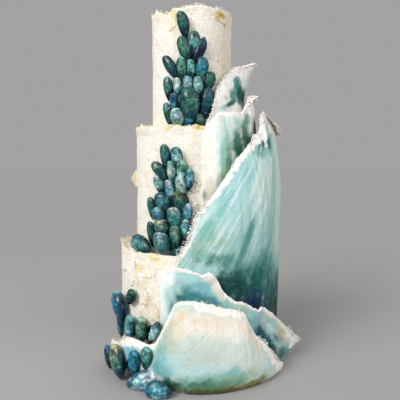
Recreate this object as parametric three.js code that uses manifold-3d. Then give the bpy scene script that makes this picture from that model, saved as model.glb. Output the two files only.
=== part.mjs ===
// A three-tier wedding cake. Cream tiers with torn paper rims carry clusters of sugar mussels,
// and four torn, painted waves of rolled icing sweep round the right side.
// Millimetres, +Z up, origin on the cake's axis at its foot. The front faces -Y.
import * as THREE from 'three';
import { mergeVertices } from 'three/addons/utils/BufferGeometryUtils.js';
import Module from 'manifold-3d';

const wasm = await Module();
wasm.setup();

// Driving dimensions. Tins of 5, 7 and 9 inches, each tier about 7 inches tall with its icing.
// crest is how far the torn paper rim stands over the ledge, as [azimuth, rise] round the tier.
const TIERS = [
  {
    name: 'tier_bottom', radius: 114, foot: 0, ledge: 179,
    crest: [[-180, 4], [-100, 5], [-82, 12], [-74, 14], [-66, 3], [-50, 3], [-20, 4], [60, 4], [180, 4]],
  },
  {
    name: 'tier_middle', radius: 88, foot: 179.3, ledge: 360,
    crest: [[-180, 4], [-95, 5], [-70, 5], [-30, 4], [0, 4], [60, 4], [180, 4]],
  },
  {
    name: 'tier_top', radius: 62, foot: 360.3, ledge: 527,
    crest: [
      [-180, 8], [-100, 9], [-84, 15], [-70, 9], [-50, 7], [-33, 1], [-29, 2], [-23, 7], [-10, 7],
      [5, 10], [30, 10], [50, 9], [72, 8], [84, 10], [100, 8], [180, 8],
    ],
  },
];
const TIER_SEGMENTS = 48;
const RIM = { torn: 1.2, thickness: 2.2, flare: 0.9, depth: 4 };
const SIDE_WAVE = 0.5;
const GAP = 0.5;
const WELD = 1e-4;
// How a wall's rows crowd towards its torn edge, and how it thickens below its lip.
const ROW_CROWDING = 1.25;
const BACKING = { lipShare: 0.6, ramp: 12, rampShare: 0.2 };
const PAPER_TAB = {
  tier: 'tier_middle', azimuth: -84, inner: 84, outer: 99, low: 275, high: 299, thickness: 2.4,
};

const COLOURS = {
  cream: 0xf3ece0,
  wash: 0x8fbdbb,
  teal: 0x3f8a8c,
  pearl: 0xc4d6cf,
  shell: 0x2c6f78,
};
const ROUGHNESS = { cream: 0.7, wave: 0.6, shell: 0.3 };

// Each wave is made of walls that bulge between a foot and a torn edge. The edge runs from left
// to right as [azimuth, radius, height], the foot as [azimuth, radius, height, bulge]. A flare over
// 1 keeps the wall upright until it curls near its edge. lip is how far below the torn edge the
// wall stands free before it is backed down to the core radius.
const WAVES = [
  {
    name: 'wave_upper',
    colour: COLOURS.wash,
    walls: [
      {
        edge: [
          [10, 90.4, 368], [22, 91, 382], [28, 91.5, 389], [39, 94, 385], [55, 98, 388],
          [60, 98, 399], [64, 100, 414], [68, 106, 420], [72, 112, 410], [77, 101, 395],
          [84, 91, 385], [100, 91, 378], [120, 91.5, 370], [140, 90.4, 364],
        ],
        foot: [
          [10, 90.4, 245, 0], [30, 96, 245, 3], [60, 101, 245, 0], [72, 101, 245, -9],
          [84, 107, 245, 2], [92, 109, 245, 2], [120, 102, 245, 3], [140, 90.4, 245, 0],
        ],
        bulgePower: 2, flare: 3.5, thickness: 3.6, lip: 18, core: 50, columns: 26, rows: 5,
      },
      {
        edge: [
          [14, 88, 366], [22, 84, 388], [28, 77, 411], [39, 73.5, 431], [53, 79, 451],
          [66, 92, 464], [73, 105, 470], [80, 82, 453], [87, 91, 438], [92, 85, 426], [110, 86, 368],
        ],
        foot: [
          [14, 87, 361.5, 0], [30, 82, 361.5, 0], [50, 80, 361.5, 0], [80, 84, 361.5, 0],
          [110, 85, 361.5, 0],
        ],
        bulgePower: 1, flare: 3, thickness: 3.2, lip: 400, core: 50, columns: 22, rows: 5,
      },
    ],
  },
  {
    name: 'wave_main',
    colour: COLOURS.teal,
    walls: [{
      edge: [
        [-9, 117.5, 176], [-1, 116, 204], [4, 110, 236], [10, 108.5, 253], [24, 108, 286],
        [40, 113, 328], [58, 117, 353], [66, 118, 366], [69, 119, 386], [73, 124, 379],
        [77, 129, 376], [82, 133, 362], [93, 131, 350], [105, 126, 335], [120, 122, 304],
        [135, 119, 262], [163, 116.5, 196],
      ],
      foot: [
        [-9, 116, 162, 1], [0, 116.5, 148, 3], [8, 117, 125, 7], [18, 120, 90, 13], [30, 124, 50, 18],
        [50, 132, 12, 19], [62, 136, 0, 16], [75, 140, 0, 9], [90, 141, 0, 7], [110, 138, 0, 8],
        [140, 127, 0, 6], [163, 116.5, 0, 0],
      ],
      bulgePower: 2, flare: 1, thickness: 4, lip: 26, core: 50, columns: 34, rows: 7,
    }],
  },
  {
    name: 'wave_lower',
    colour: COLOURS.wash,
    walls: [{
      edge: [
        [-20, 116, 159], [-8, 119, 167], [3, 122, 162], [8, 123.5, 158], [12, 125, 162],
        [16.5, 126.5, 156], [21, 128.5, 137], [28, 132, 121], [34, 135, 117], [43, 140, 103],
        [48.5, 143, 103], [61, 152, 77], [73, 164, 48], [79, 175, 31], [85, 162, 26],
        [95, 156, 38], [106, 151, 34], [118, 147, 38], [131, 141, 20],
      ],
      foot: [
        [-22, 117, 0, 0], [0, 121, 0, 0], [20, 127, 0, -2], [40, 133, 0, -3], [55, 138, 0, -3],
        [66, 145, 0, -3], [78, 151, 0, 0], [95, 152, 0, 0], [115, 148, 0, 0], [131, 141, 0, 0],
      ],
      bulgePower: 1.6, flare: 1, thickness: 3.6, lip: 22, core: 90, columns: 34, rows: 6,
    }],
  },
  {
    name: 'wave_front',
    colour: COLOURS.pearl,
    walls: [{
      edge: [
        [-84, 118, 20], [-68, 134, 38], [-52, 138, 48], [-41, 137, 62], [-23, 137, 61],
        [-19, 136, 74], [-11.5, 132, 110], [-9, 131, 120], [-3, 130, 124], [9, 131.5, 120],
        [20, 134.5, 113], [30, 138.5, 107], [33, 140, 101], [36.5, 143, 83], [40, 145.5, 68],
        [45, 148, 57], [50, 151, 39], [57, 153, 20], [66, 154, 7],
      ],
      foot: [
        [-84, 117, 0, 4], [-60, 121, 0, 10], [-40, 124, 0, 12], [-25, 127, 0, 12], [-12, 135, 0, 12],
        [0, 143, 0, 12], [20, 147, 0, 12], [45, 150, 0, 8], [58, 152, 0, 3], [66, 153, 0, 1],
      ],
      bulgePower: 0.7, flare: 1, thickness: 4, lip: 18, core: 90, columns: 36, rows: 6,
    }],
  },
];

// Mussels, each as [azimuth, height, length, width, lean] of its middle. Lean turns its broad
// end from upright towards the right. A mate is the second half of an open mussel.
const SHELL_CLUSTERS = [
  {
    name: 'shell_top', wall: 62, tilt: 8, shells: [
      [-9.3, 508, 37, 15.5, -12], [-8.3, 474, 35, 17, -14], [2, 481.5, 35, 16, 12], [9.3, 472, 36, 14, 25],
      [-25.5, 450, 37, 14.5, -28], [-11.5, 447, 32, 14.5, -3], [-0.5, 446, 27, 13, -3],
      [12, 448, 30, 17, 9], [21.5, 430, 28, 15.5, 13], [-29, 420, 35, 13.5, -3],
      [-17.5, 423, 24, 12, 3], [-4.5, 426, 20, 14, 2], [7.5, 422, 27, 13.5, -3],
      [-2.2, 396, 46, 26, -5], [17.3, 397, 44, 19.5, 12], [-30, 384, 32, 12.5, -8],
      [-22.5, 402, 26, 11.5, 10], [-17, 377, 27, 19.5, -4], [-3, 373, 19, 14, 2],
      [10.5, 373, 20, 14, -3],
    ],
    mates: { 4: [13.5, 477, 30, 9, 10], 9: [15.8, 427, 24, 9.5, 10], 15: [14.8, 385, 32, 14.5, 16] },
  },
  {
    name: 'shell_middle', wall: 88, tilt: 8, shells: [
      [-22.5, 321, 34, 14, -2], [-12.2, 320, 29, 15.5, -5], [-28, 300, 32, 15, -36],
      [-17, 298, 33, 12.5, -2], [-7.8, 303, 27, 15, 10], [-1.5, 288, 32, 12, 5],
      [-28.3, 280, 31, 14, -17], [-18.2, 273, 30, 14, -10], [-9, 280, 29, 15, -2],
      [-24.2, 256, 30, 20.5, -27], [-10, 257, 31, 17, -14], [-36.8, 246, 33, 13.5, -4],
      [-28.3, 236, 26, 19, -19], [-14, 234, 31, 21, -10], [-26, 219, 27, 21, -7],
      [-37.2, 208, 38, 13.5, -3], [-14, 207, 36, 16, 3], [-25.8, 197, 34, 23.5, -4],
      [-3.6, 241, 28, 13, 8],
    ],
    mates: { 19: [-4.6, 217, 29, 14.5, -2] },
  },
  {
    name: 'shell_low', wall: 114, tilt: 5, shells: [
      [-59.5, 95, 48, 27, -18], [-47, 116, 28, 16, 33], [-64, 60, 33, 15, 4],
      [-47.5, 70, 40, 17, 10], [-35.5, 73, 39, 19, 7], [-25.5, 74, 33, 13.5, 30],
    ],
    mates: {},
  },
  {
    name: 'shell_foot', wall: 135, tilt: 4, shells: [
      [-61, 19, 34, 17, -14], [-45.8, 27, 49, 26, -12], [-33.7, 33, 38, 18.5, 9], [-25, 45.5, 33, 14, 5],
    ],
    mates: {},
  },
];
// Mussels that lie flat, each as [azimuth, radius, height, length, width, lean] of its middle.
// facing is the azimuth that the mussel's outer face looks towards.
const LYING_SHELLS = [
  { name: 'shell_ledge_left', at: [-46, 103, 191, 47, 23, -78], facing: -46 },
  { name: 'shell_ledge_right', at: [-10, 102, 187.5, 30, 13, 68], facing: -10 },
  { name: 'shell_pearl', at: [-27.8, 147, 14.5, 44, 24, 66], facing: -12 },
  { name: 'shell_stray', at: [-15.6, 157, 9, 36, 22, -84], facing: -8 },
];
// A mussel's girth is a rounded arch along its length, drawn in towards the umbo at its foot.
const SHELL = {
  sides: 8, rings: 5, endInset: 0.06, depthShare: 0.74, umboPower: 1.4, archPower: 0.45,
  hook: 0.07, standOff: 1, tiltLift: 0.35,
};

const { degToRad, lerp, smoothstep } = THREE.MathUtils;

// A point from its azimuth round the axis, its radius and its height. Azimuth 0 is the front.
function place(azimuth, radius, height) {
  const turn = degToRad(azimuth);
  return new THREE.Vector3(radius * Math.sin(turn), -radius * Math.cos(turn), height);
}

// What stations of [azimuth, ...values] hold at an azimuth, straight between them.
function stationsAt(stations, azimuth) {
  const last = stations.length - 1;
  let k = 0;
  while (k < last - 1 && azimuth > stations[k + 1][0]) k += 1;
  const [from, to] = [stations[k], stations[k + 1]];
  const share = THREE.MathUtils.clamp((azimuth - from[0]) / (to[0] - from[0]), 0, 1);
  return from.slice(1).map((value, i) => lerp(value, to[i + 1], share));
}

// A repeatable ragged wave between -1 and 1, for torn paper.
function ragged(along, seed) {
  return 0.5 * Math.sin(along * 5.3 + seed) + 0.3 * Math.sin(along * 11.7 + 2 * seed)
    + 0.2 * Math.sin(along * 23.1 + 3 * seed);
}

// A closed mesh from positions and triangles.
function closedGeometry(positions, triangles) {
  const geometry = new THREE.BufferGeometry();
  geometry.setAttribute('position', new THREE.Float32BufferAttribute(positions, 3));
  geometry.setIndex(triangles);
  return geometry;
}

// Rings of points joined side to side, with a point at each end.
function ringedGeometry(rings, firstTip, lastTip) {
  const count = rings[0].length;
  const positions = [...rings.flat(), firstTip, lastTip].flatMap((p) => p.toArray());
  const triangles = [];
  const first = rings.length * count;
  const last = first + 1;
  for (let k = 0; k < count; k += 1) {
    const next = (k + 1) % count;
    triangles.push(first, next, k);
    triangles.push(last, first - count + k, first - count + next);
    for (let i = 0; i + 1 < rings.length; i += 1) {
      const low = i * count;
      triangles.push(low + k, low + next, low + count + next);
      triangles.push(low + k, low + count + next, low + count + k);
    }
  }
  return closedGeometry(positions, triangles);
}

// A closed wall: one section for each column, each made of an outer and an inner row of points.
function wallGeometry(sections) {
  const rows = sections[0].outer.length;
  const rings = sections.map(({ outer, inner }) => [...outer, ...inner.toReversed()]);
  const count = rings[0].length;
  const triangles = [];
  for (let i = 0; i + 1 < rings.length; i += 1) {
    for (let k = 0; k < count; k += 1) {
      const next = (k + 1) % count;
      triangles.push(i * count + k, (i + 1) * count + k, (i + 1) * count + next);
      triangles.push(i * count + k, (i + 1) * count + next, i * count + next);
    }
  }
  const end = (rings.length - 1) * count;
  for (let j = 0; j + 1 < rows; j += 1) {
    const inner = count - 1 - j;
    triangles.push(j, j + 1, inner - 1, j, inner - 1, inner);
    triangles.push(end + j, end + inner - 1, end + j + 1, end + j, end + inner, end + inner - 1);
  }
  return closedGeometry(rings.flat().flatMap((p) => p.toArray()), triangles);
}

function toSolid(geometry) {
  const bare = mergeVertices(geometry, WELD);
  return new wasm.Manifold(new wasm.Mesh({
    numProp: 3,
    vertProperties: bare.attributes.position.array,
    triVerts: new Uint32Array(bare.index.array),
  }));
}

// A closed mesh with every corner pushed outwards, for cutting a neighbour back with a gap.
function swollen(geometry, distance) {
  const bare = mergeVertices(geometry, WELD);
  const { position } = bare.attributes;
  const corners = Array.from(
    { length: position.count },
    (_, k) => new THREE.Vector3().fromBufferAttribute(position, k),
  );
  const pushes = corners.map(() => new THREE.Vector3());
  for (let i = 0; i < bare.index.count; i += 3) {
    const ids = [0, 1, 2].map((k) => bare.index.getX(i + k));
    const facet = new THREE.Triangle(...ids.map((id) => corners[id]));
    const normal = facet.getNormal(new THREE.Vector3());
    ids.forEach((id, k) => {
      const before = corners[ids[(k + 2) % 3]].clone().sub(corners[id]);
      const after = corners[ids[(k + 1) % 3]].clone().sub(corners[id]);
      pushes[id].addScaledVector(normal, before.angleTo(after));
    });
  }
  corners.forEach((corner, k) => corner.add(pushes[k].setLength(distance)));
  return closedGeometry(corners.flatMap((corner) => corner.toArray()), Array.from(bare.index.array));
}

function toGeometry(solid) {
  const { vertProperties, triVerts } = solid.getMesh();
  return closedGeometry(Array.from(vertProperties), Array.from(triVerts));
}

// The largest piece of a solid that a cut may have left in several.
function largest(solid) {
  return solid.decompose().reduce((best, piece) => (piece.volume() > best.volume() ? piece : best));
}

function toMesh(name, geometry, colour, roughness) {
  const flat = geometry.toNonIndexed();
  flat.computeVertexNormals();
  const finish = new THREE.MeshStandardMaterial({ color: colour, roughness, metalness: 0 });
  const mesh = new THREE.Mesh(flat, finish);
  mesh.name = name;
  return mesh;
}

// A drum of cake with a torn paper rim that stands a little above its ledge.
function tierGeometry({ radius, foot, ledge, crest }) {
  const azimuths = Array.from({ length: TIER_SEGMENTS }, (_, k) => (k * 360) / TIER_SEGMENTS - 180);
  const torn = (azimuth) => {
    const [rise] = stationsAt(crest, azimuth);
    return ledge + rise + RIM.torn * ragged(degToRad(azimuth) * 2, radius);
  };
  const side = (azimuth, height) => radius + SIDE_WAVE * ragged(degToRad(azimuth), height + radius);
  const rings = [foot, lerp(foot, ledge, 0.5), ledge - RIM.depth].map(
    (height) => azimuths.map((a) => place(a, side(a, height), height)),
  );
  rings.push(azimuths.map((a) => place(a, radius + RIM.flare, torn(a))));
  rings.push(azimuths.map((a) => place(a, radius - RIM.thickness, torn(a))));
  rings.push(azimuths.map((a) => place(a, radius - 2 * RIM.thickness, ledge)));
  return ringedGeometry(rings, new THREE.Vector3(0, 0, foot), new THREE.Vector3(0, 0, ledge));
}

// A small torn tab of paper that stands off the middle tier's left side.
function tabGeometry({ azimuth, inner, outer, low, high, thickness }) {
  const turn = degToRad(azimuth);
  const profile = new THREE.Shape([
    new THREE.Vector2(inner, low),
    new THREE.Vector2(lerp(inner, outer, 0.7), lerp(low, high, 0.2)),
    new THREE.Vector2(outer, lerp(low, high, 0.55)),
    new THREE.Vector2(lerp(inner, outer, 0.6), lerp(low, high, 0.9)),
    new THREE.Vector2(inner, high),
  ]);
  const tab = new THREE.ExtrudeGeometry(profile, { depth: thickness, bevelEnabled: false });
  tab.deleteAttribute('normal');
  tab.deleteAttribute('uv');
  return tab.rotateX(Math.PI / 2).rotateZ(turn - Math.PI / 2);
}

// A smooth track through stations of [azimuth, radius, height], read at u from 0 to 1.
function track(stations) {
  const points = stations.map((station) => new THREE.Vector3(...station));
  const curve = new THREE.CatmullRomCurve3(points, false, 'catmullrom', 0.5);
  return (u) => curve.getPoint(u);
}

// A wall of a wave, closed. Below its lip it is backed down to the core radius.
function waveGeometry(wall) {
  const edgeAt = track(wall.edge);
  const sections = [];
  for (let i = 0; i <= wall.columns; i += 1) {
    const edge = edgeAt(i / wall.columns);
    const [footRadius, footHeight, bulge] = stationsAt(wall.foot, edge.x);
    const tall = edge.z - footHeight;
    const lip = Math.min(wall.lip, tall * BACKING.lipShare);
    const backed = lip + Math.min(BACKING.ramp, tall * BACKING.rampShare);
    const outer = [];
    const inner = [];
    for (let j = 0; j <= wall.rows; j += 1) {
      const v = 1 - (1 - j / wall.rows) ** ROW_CROWDING;
      const swell = bulge * Math.sin(Math.PI * v ** wall.bulgePower);
      const radius = lerp(footRadius, edge.y, v ** wall.flare) + swell;
      const height = lerp(footHeight, edge.z, v);
      const backing = smoothstep((1 - v) * tall, lip, backed);
      outer.push(place(edge.x, radius, height));
      inner.push(place(edge.x, lerp(radius - wall.thickness, wall.core, backing), height));
    }
    sections.push({ outer, inner });
  }
  return wallGeometry(sections);
}

// A mussel standing on its umbo: x is its width, y its depth with the outer face at -y, z its length.
function shellGeometry(length, width) {
  const depth = width * SHELL.depthShare;
  const rings = [];
  for (let i = 0; i < SHELL.rings; i += 1) {
    const t = lerp(SHELL.endInset, 1 - SHELL.endInset, i / (SHELL.rings - 1));
    const drawnIn = t ** SHELL.umboPower;
    const girth = (4 * drawnIn * (1 - drawnIn)) ** SHELL.archPower;
    const hook = SHELL.hook * width * Math.sin(Math.PI * t);
    rings.push(Array.from({ length: SHELL.sides }, (_, k) => {
      const turn = (2 * Math.PI * k) / SHELL.sides;
      return new THREE.Vector3(
        ((width * girth) / 2) * Math.cos(turn) + hook,
        ((depth * girth) / 2) * Math.sin(turn),
        (t - 0.5) * length,
      );
    }));
  }
  return ringedGeometry(rings, new THREE.Vector3(0, 0, -length / 2), new THREE.Vector3(0, 0, length / 2));
}

// Where a mussel's middle goes: turned to face an azimuth, leaning sideways by lean and tipping its
// broad end outwards by tilt, all in degrees.
function shellMatrix([azimuth, radius, height], facing, lean, tilt) {
  const turning = new THREE.Matrix4().makeRotationZ(degToRad(facing));
  const leaning = new THREE.Matrix4().makeRotationY(degToRad(lean));
  const tipping = new THREE.Matrix4().makeRotationX(degToRad(tilt));
  return turning.multiply(leaning).multiply(tipping).setPosition(place(azimuth, radius, height));
}

// A mussel that stands against a wall: its size and its place.
function standing([azimuth, height, length, width, lean], wall, tilt) {
  const lift = (width * SHELL.depthShare) / 2 + SHELL.tiltLift * length * Math.sin(degToRad(tilt));
  const radius = wall + SHELL.standOff + lift;
  return { length, width, matrix: shellMatrix([azimuth, radius, height], azimuth, lean, tilt) };
}

// Lists every mussel with its halves, the lowest first.
function listShells() {
  const listed = [];
  for (const { name, wall, tilt, shells, mates } of SHELL_CLUSTERS) {
    shells.forEach((shell, k) => {
      const halves = [standing(shell, wall, tilt)];
      if (mates[k + 1]) halves.push(standing(mates[k + 1], wall, tilt));
      listed.push({ name: `${name}_${String(k + 1).padStart(2, '0')}`, height: shell[1], halves });
    });
  }
  for (const { name, at: [azimuth, radius, height, length, width, lean], facing } of LYING_SHELLS) {
    const matrix = shellMatrix([azimuth, radius, height], facing, lean, 0);
    listed.push({ name, height, halves: [{ length, width, matrix }] });
  }
  return listed.sort((a, b) => a.height - b.height);
}

// Each part as a solid, joined into one. A part is a geometry that overlaps its neighbour.
function joined(geometries) {
  return geometries.map(toSolid).reduce((all, next) => all.add(next));
}

// What keeps a neighbour clear of the parts.
function clearance(geometries) {
  return joined(geometries.map((geometry) => swollen(geometry, GAP)));
}

const cake = new THREE.Group();

let guard = clearance(TIERS.map(tierGeometry));
for (const tier of TIERS) {
  const parts = [tierGeometry(tier)];
  if (tier.name === PAPER_TAB.tier) parts.push(tabGeometry(PAPER_TAB));
  cake.add(toMesh(tier.name, toGeometry(joined(parts)), COLOURS.cream, ROUGHNESS.cream));
}

// Each wave is cut back to what lies under it, from the cake outwards.
for (const { name, colour, walls } of WAVES) {
  const parts = walls.map(waveGeometry);
  cake.add(toMesh(name, toGeometry(largest(joined(parts).subtract(guard))), colour, ROUGHNESS.wave));
  guard = guard.add(clearance(parts));
}

// Each mussel is cut back where it tucks behind a lower one or behind a wave.
for (const { name, halves } of listShells()) {
  const parts = halves.map((half) => shellGeometry(half.length, half.width).applyMatrix4(half.matrix));
  const solid = largest(joined(parts).subtract(guard));
  const { matrix } = halves[0];
  const unplaced = toGeometry(solid).applyMatrix4(matrix.clone().invert());
  const mesh = toMesh(name, unplaced, COLOURS.shell, ROUGHNESS.shell);
  matrix.decompose(mesh.position, mesh.quaternion, mesh.scale);
  cake.add(mesh);
  guard = guard.add(clearance(parts));
}

export default cake;
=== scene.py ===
"""A three-tier wedding cake: crumpled cream tiers with torn, gilded rims, sugar mussels, painted waves.

Shapes are worked out in millimetres, as azimuth round the cake's axis, radius and height. Azimuth 0 is the
front, which faces -Y. Only finished vertices are in metres.
"""

import math
import random

import bpy
import numpy as np
from bpy.props import FloatProperty, FloatVectorProperty, PointerProperty
from mathutils import Matrix, Vector, noise


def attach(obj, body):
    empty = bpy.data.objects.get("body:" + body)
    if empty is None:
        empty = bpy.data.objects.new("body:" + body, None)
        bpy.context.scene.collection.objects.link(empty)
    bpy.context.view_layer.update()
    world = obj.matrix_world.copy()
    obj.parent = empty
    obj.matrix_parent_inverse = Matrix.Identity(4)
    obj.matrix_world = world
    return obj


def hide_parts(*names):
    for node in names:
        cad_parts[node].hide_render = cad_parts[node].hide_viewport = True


bl_info = {
    "name": "Tiered wedding cake",
    "version": (1, 0, 0),
    "blender": (4, 5, 0),
    "location": "View3D > Sidebar > Cake",
    "description": "Builds a tiered cake with torn paper rims, sugar mussels and painted waves",
    "category": "Add Mesh",
}

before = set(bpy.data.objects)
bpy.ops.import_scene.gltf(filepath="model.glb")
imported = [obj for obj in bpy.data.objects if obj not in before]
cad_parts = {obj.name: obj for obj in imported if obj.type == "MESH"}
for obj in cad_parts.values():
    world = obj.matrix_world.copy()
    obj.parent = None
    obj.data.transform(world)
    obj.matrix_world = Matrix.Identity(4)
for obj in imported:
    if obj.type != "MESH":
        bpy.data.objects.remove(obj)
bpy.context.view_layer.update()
BODY = "root"
MM = 0.001

# Tiers: radius, foot and ledge, and how far the torn rim stands over the ledge, as (azimuth, rise).
TIERS = {
    "tier_bottom": {
        "radius": 114, "foot": 0, "ledge": 179, "columns": 420, "rows": 90,
        "crest": [
            (-180, 4), (-100, 5), (-82, 12), (-74, 14), (-66, 3), (-50, 3), (-20, 4), (60, 4), (180, 4),
        ],
    },
    "tier_middle": {
        "radius": 88, "foot": 179.3, "ledge": 360, "columns": 340, "rows": 90,
        "crest": [(-180, 4), (-95, 5), (-70, 5), (-30, 4), (0, 4), (60, 4), (180, 4)],
    },
    "tier_top": {
        "radius": 62, "foot": 360.3, "ledge": 527, "columns": 260, "rows": 90,
        "crest": [
            (-180, 8), (-100, 9), (-84, 15), (-70, 9), (-50, 7), (-33, 1), (-29, 2), (-23, 7), (-10, 7),
            (5, 10), (30, 10), (50, 9), (72, 8), (84, 10), (100, 8), (180, 8),
        ],
    },
}
# A rim before it is torn, in mm: rings across its top, thickness, height, least height and flare.
RIM_STEPS = 3
RIM_THICKNESS = 2.2
RIM_NOMINAL = 8.0
RIM_LEAST = 0.8
RIM_FLARE = 0.9
# Rings drawn in over a ledge: mm inside the side, then shares of the radius.
LEDGE_INSETS = (8, 14, 22)
LEDGE_SHARES = (0.5, 0.1)
# Paint and gilding fade out between these depths inside a tier's side, in mm.
SIDE_FADE = (16, 5)
# Cells of a paper leaf and of the tab, and rows of a ribbon.
LEAF_CELLS = (30, 30)
TAB_CELLS = (16, 20)
RIBBON_ROWS = 12
# A fringe's roots, inside the side and under the rim in mm, how torn away it is, and its seed.
FRINGE_INSET = 0.2
FRINGE_ROOT = 2.5
FRINGE_TORN = 0.3
FRINGE_SEED = 11
# A frill's roots under its edge and how far below a border it is painted, in mm, and the first seed.
FRILL_ROOT = 1.5
FRILL_BORDER = 10
FRILL_SEED = 20
# How far from a wall's ends its edge starts to be torn, in mm.
END_FADE = 12
# Steps between the seeds of the waves and of one wave's walls.
WAVE_SEED = 10.5
WALL_SEED = 3.7
# Vertices nearer than this are merged, in metres.
WELD = 0.00001

# Gilded spots on the paper: tier, azimuth, height, half width, half height in mm, strength.
GILDING = [
    ("tier_top", 44, 531, 12, 7, 1.0), ("tier_top", 38, 524, 5, 7, 0.9), ("tier_top", 53, 518, 5, 5, 1.0),
    ("tier_top", -24, 524, 5, 14, 0.45), ("tier_top", -45, 533, 14, 5, 0.2),
    ("tier_top", 5, 537, 20, 3, 0.25),
    ("tier_middle", -21, 362, 10, 4, 0.6), ("tier_middle", 9, 362, 12, 6, 0.85),
    ("tier_middle", 14, 354, 5, 7, 0.75), ("tier_middle", -84, 287, 14, 13, 0.3),
    ("tier_middle", -75, 362, 20, 3, 0.3), ("tier_middle", -80, 205, 8, 12, 0.3),
    ("tier_bottom", -72, 188, 12, 10, 0.7), ("tier_bottom", -42, 160, 8, 9, 0.55),
    ("tier_bottom", -26, 177, 14, 5, 0.65), ("tier_bottom", -35, 150, 6, 7, 0.4),
    ("tier_bottom", -58, 178, 12, 4, 0.4), ("tier_bottom", -20, 168, 5, 6, 0.4),
]
# Washes and specks on the paper: pot, azimuth, height, half width, half height in mm, slant in degrees,
# strength. The broad shell_white dabs on each tier's left are painted light, and the broad beige on the
# top tier's right is painted shade.
PAPER_PAINT = {
    "tier_bottom": [
        ("peach", -30, 100, 20, 46, 10, 0.5), ("tan", -33, 112, 9, 15, 20, 0.5),
        ("tan", -24, 88, 8, 22, -15, 0.45),
        ("tan", -38, 138, 13, 6, -25, 0.4), ("beige", -18, 110, 12, 30, 0, 0.5),
        ("tan", -40, 92, 5, 12, 0, 0.5),
        ("shell_white", -60, 130, 20, 50, 0, 0.6), ("shell_white", -18, 150, 14, 16, 0, 0.6),
        ("lemon", -43, 146, 4, 6, 0, 0.6), ("lemon", -30, 166, 6, 4, 0, 0.5),
        ("snow", -14, 130, 10, 30, 0, 0.5),
    ],
    "tier_middle": [
        ("shell_white", -58, 270, 26, 80, 0, 0.5), ("peach", 6, 320, 14, 30, 0, 0.5),
        ("beige", 2, 285, 8, 26, 0, 0.5),
        ("lemon", -4, 310, 6, 10, 0, 0.35), ("beige", -60, 355, 40, 5, 0, 0.4),
        ("stone", 2, 250, 8, 34, 0, 0.5),
        ("speck", 1, 272, 1.2, 2.0, 0, 0.8), ("speck", 4, 262, 1.0, 1.6, 0, 0.8),
        ("speck", 2, 246, 1.6, 1.2, 0, 0.8),
        ("speck", 6, 283, 1.0, 1.0, 0, 0.7), ("speck", 0, 232, 1.2, 1.8, 0, 0.8),
        ("speck", 5, 240, 1.0, 1.2, 0, 0.8),
    ],
    "tier_top": [
        ("shell_white", -55, 450, 26, 70, 0, 0.6), ("peach", 30, 450, 18, 70, 0, 0.4),
        ("beige", 62, 440, 26, 90, 0, 0.4),
        ("lemon", -24, 520, 5, 16, 3, 0.75), ("lemon", -22, 492, 3, 16, 4, 0.35),
        ("speck", 37, 476, 1.2, 2.2, 0, 0.7), ("speck", 40, 462, 1.6, 1.8, 20, 0.7),
        ("speck", 50, 454, 1.2, 4.0, 10, 0.8),
        ("speck", 30, 453, 1.2, 1.6, 0, 0.6), ("speck", 37, 444, 1.4, 1.4, 0, 0.7),
        ("speck", 54, 458, 1.0, 2.6, 0, 0.7),
        ("speck", 47, 436, 1.2, 1.6, 0, 0.6), ("speck", 44, 490, 1.0, 1.2, 0, 0.5),
        ("speck", 34, 430, 1.0, 1.4, 0, 0.6),
    ],
}
# Small torn leaves of paper that lift off a tier: tier, azimuth, height, width, height, lift, lean.
PAPER_LEAVES = [
    ("tier_bottom", -50, 158, 30, 44, 1.2, 12), ("tier_bottom", -32, 158, 26, 22, 0.9, 10),
    ("tier_bottom", -62, 166, 26, 30, 1.2, -10), ("tier_bottom", -36, 120, 18, 26, 0.8, 40),
    ("tier_bottom", -28, 100, 20, 24, 0.8, -25), ("tier_middle", -86, 205, 16, 30, 2.2, 4),
    ("tier_middle", -6, 268, 12, 24, 4.0, -20), ("tier_middle", -1, 246, 16, 26, 5.5, 10),
    ("tier_middle", -3, 228, 14, 22, 6.0, 35), ("tier_middle", 2, 282, 14, 24, 3.0, -30),
    ("tier_top", -24.5, 518, 10, 30, 0.9, 3), ("tier_top", 47, 525, 22, 13, 1.8, -10),
    ("tier_top", 150, 520, 24, 18, 2.0, 8), ("tier_middle", 170, 345, 34, 20, 2.2, -8),
    ("tier_bottom", -150, 166, 30, 22, 2.2, 12), ("tier_top", -130, 520, 20, 16, 2.2, -12),
]
# Thickness of the torn leaves and of the fringe on the rims, in mm.
LEAF_THICKNESS = 0.6
FRINGE_THICKNESS = 0.35
# The torn tab at the middle tier's left: how far from the axis it starts and ends, and its height range.
PAPER_TAB = {"azimuth": -84, "inner": 86, "outer": 97, "low": 275, "high": 299, "thickness": 2.4}

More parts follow.
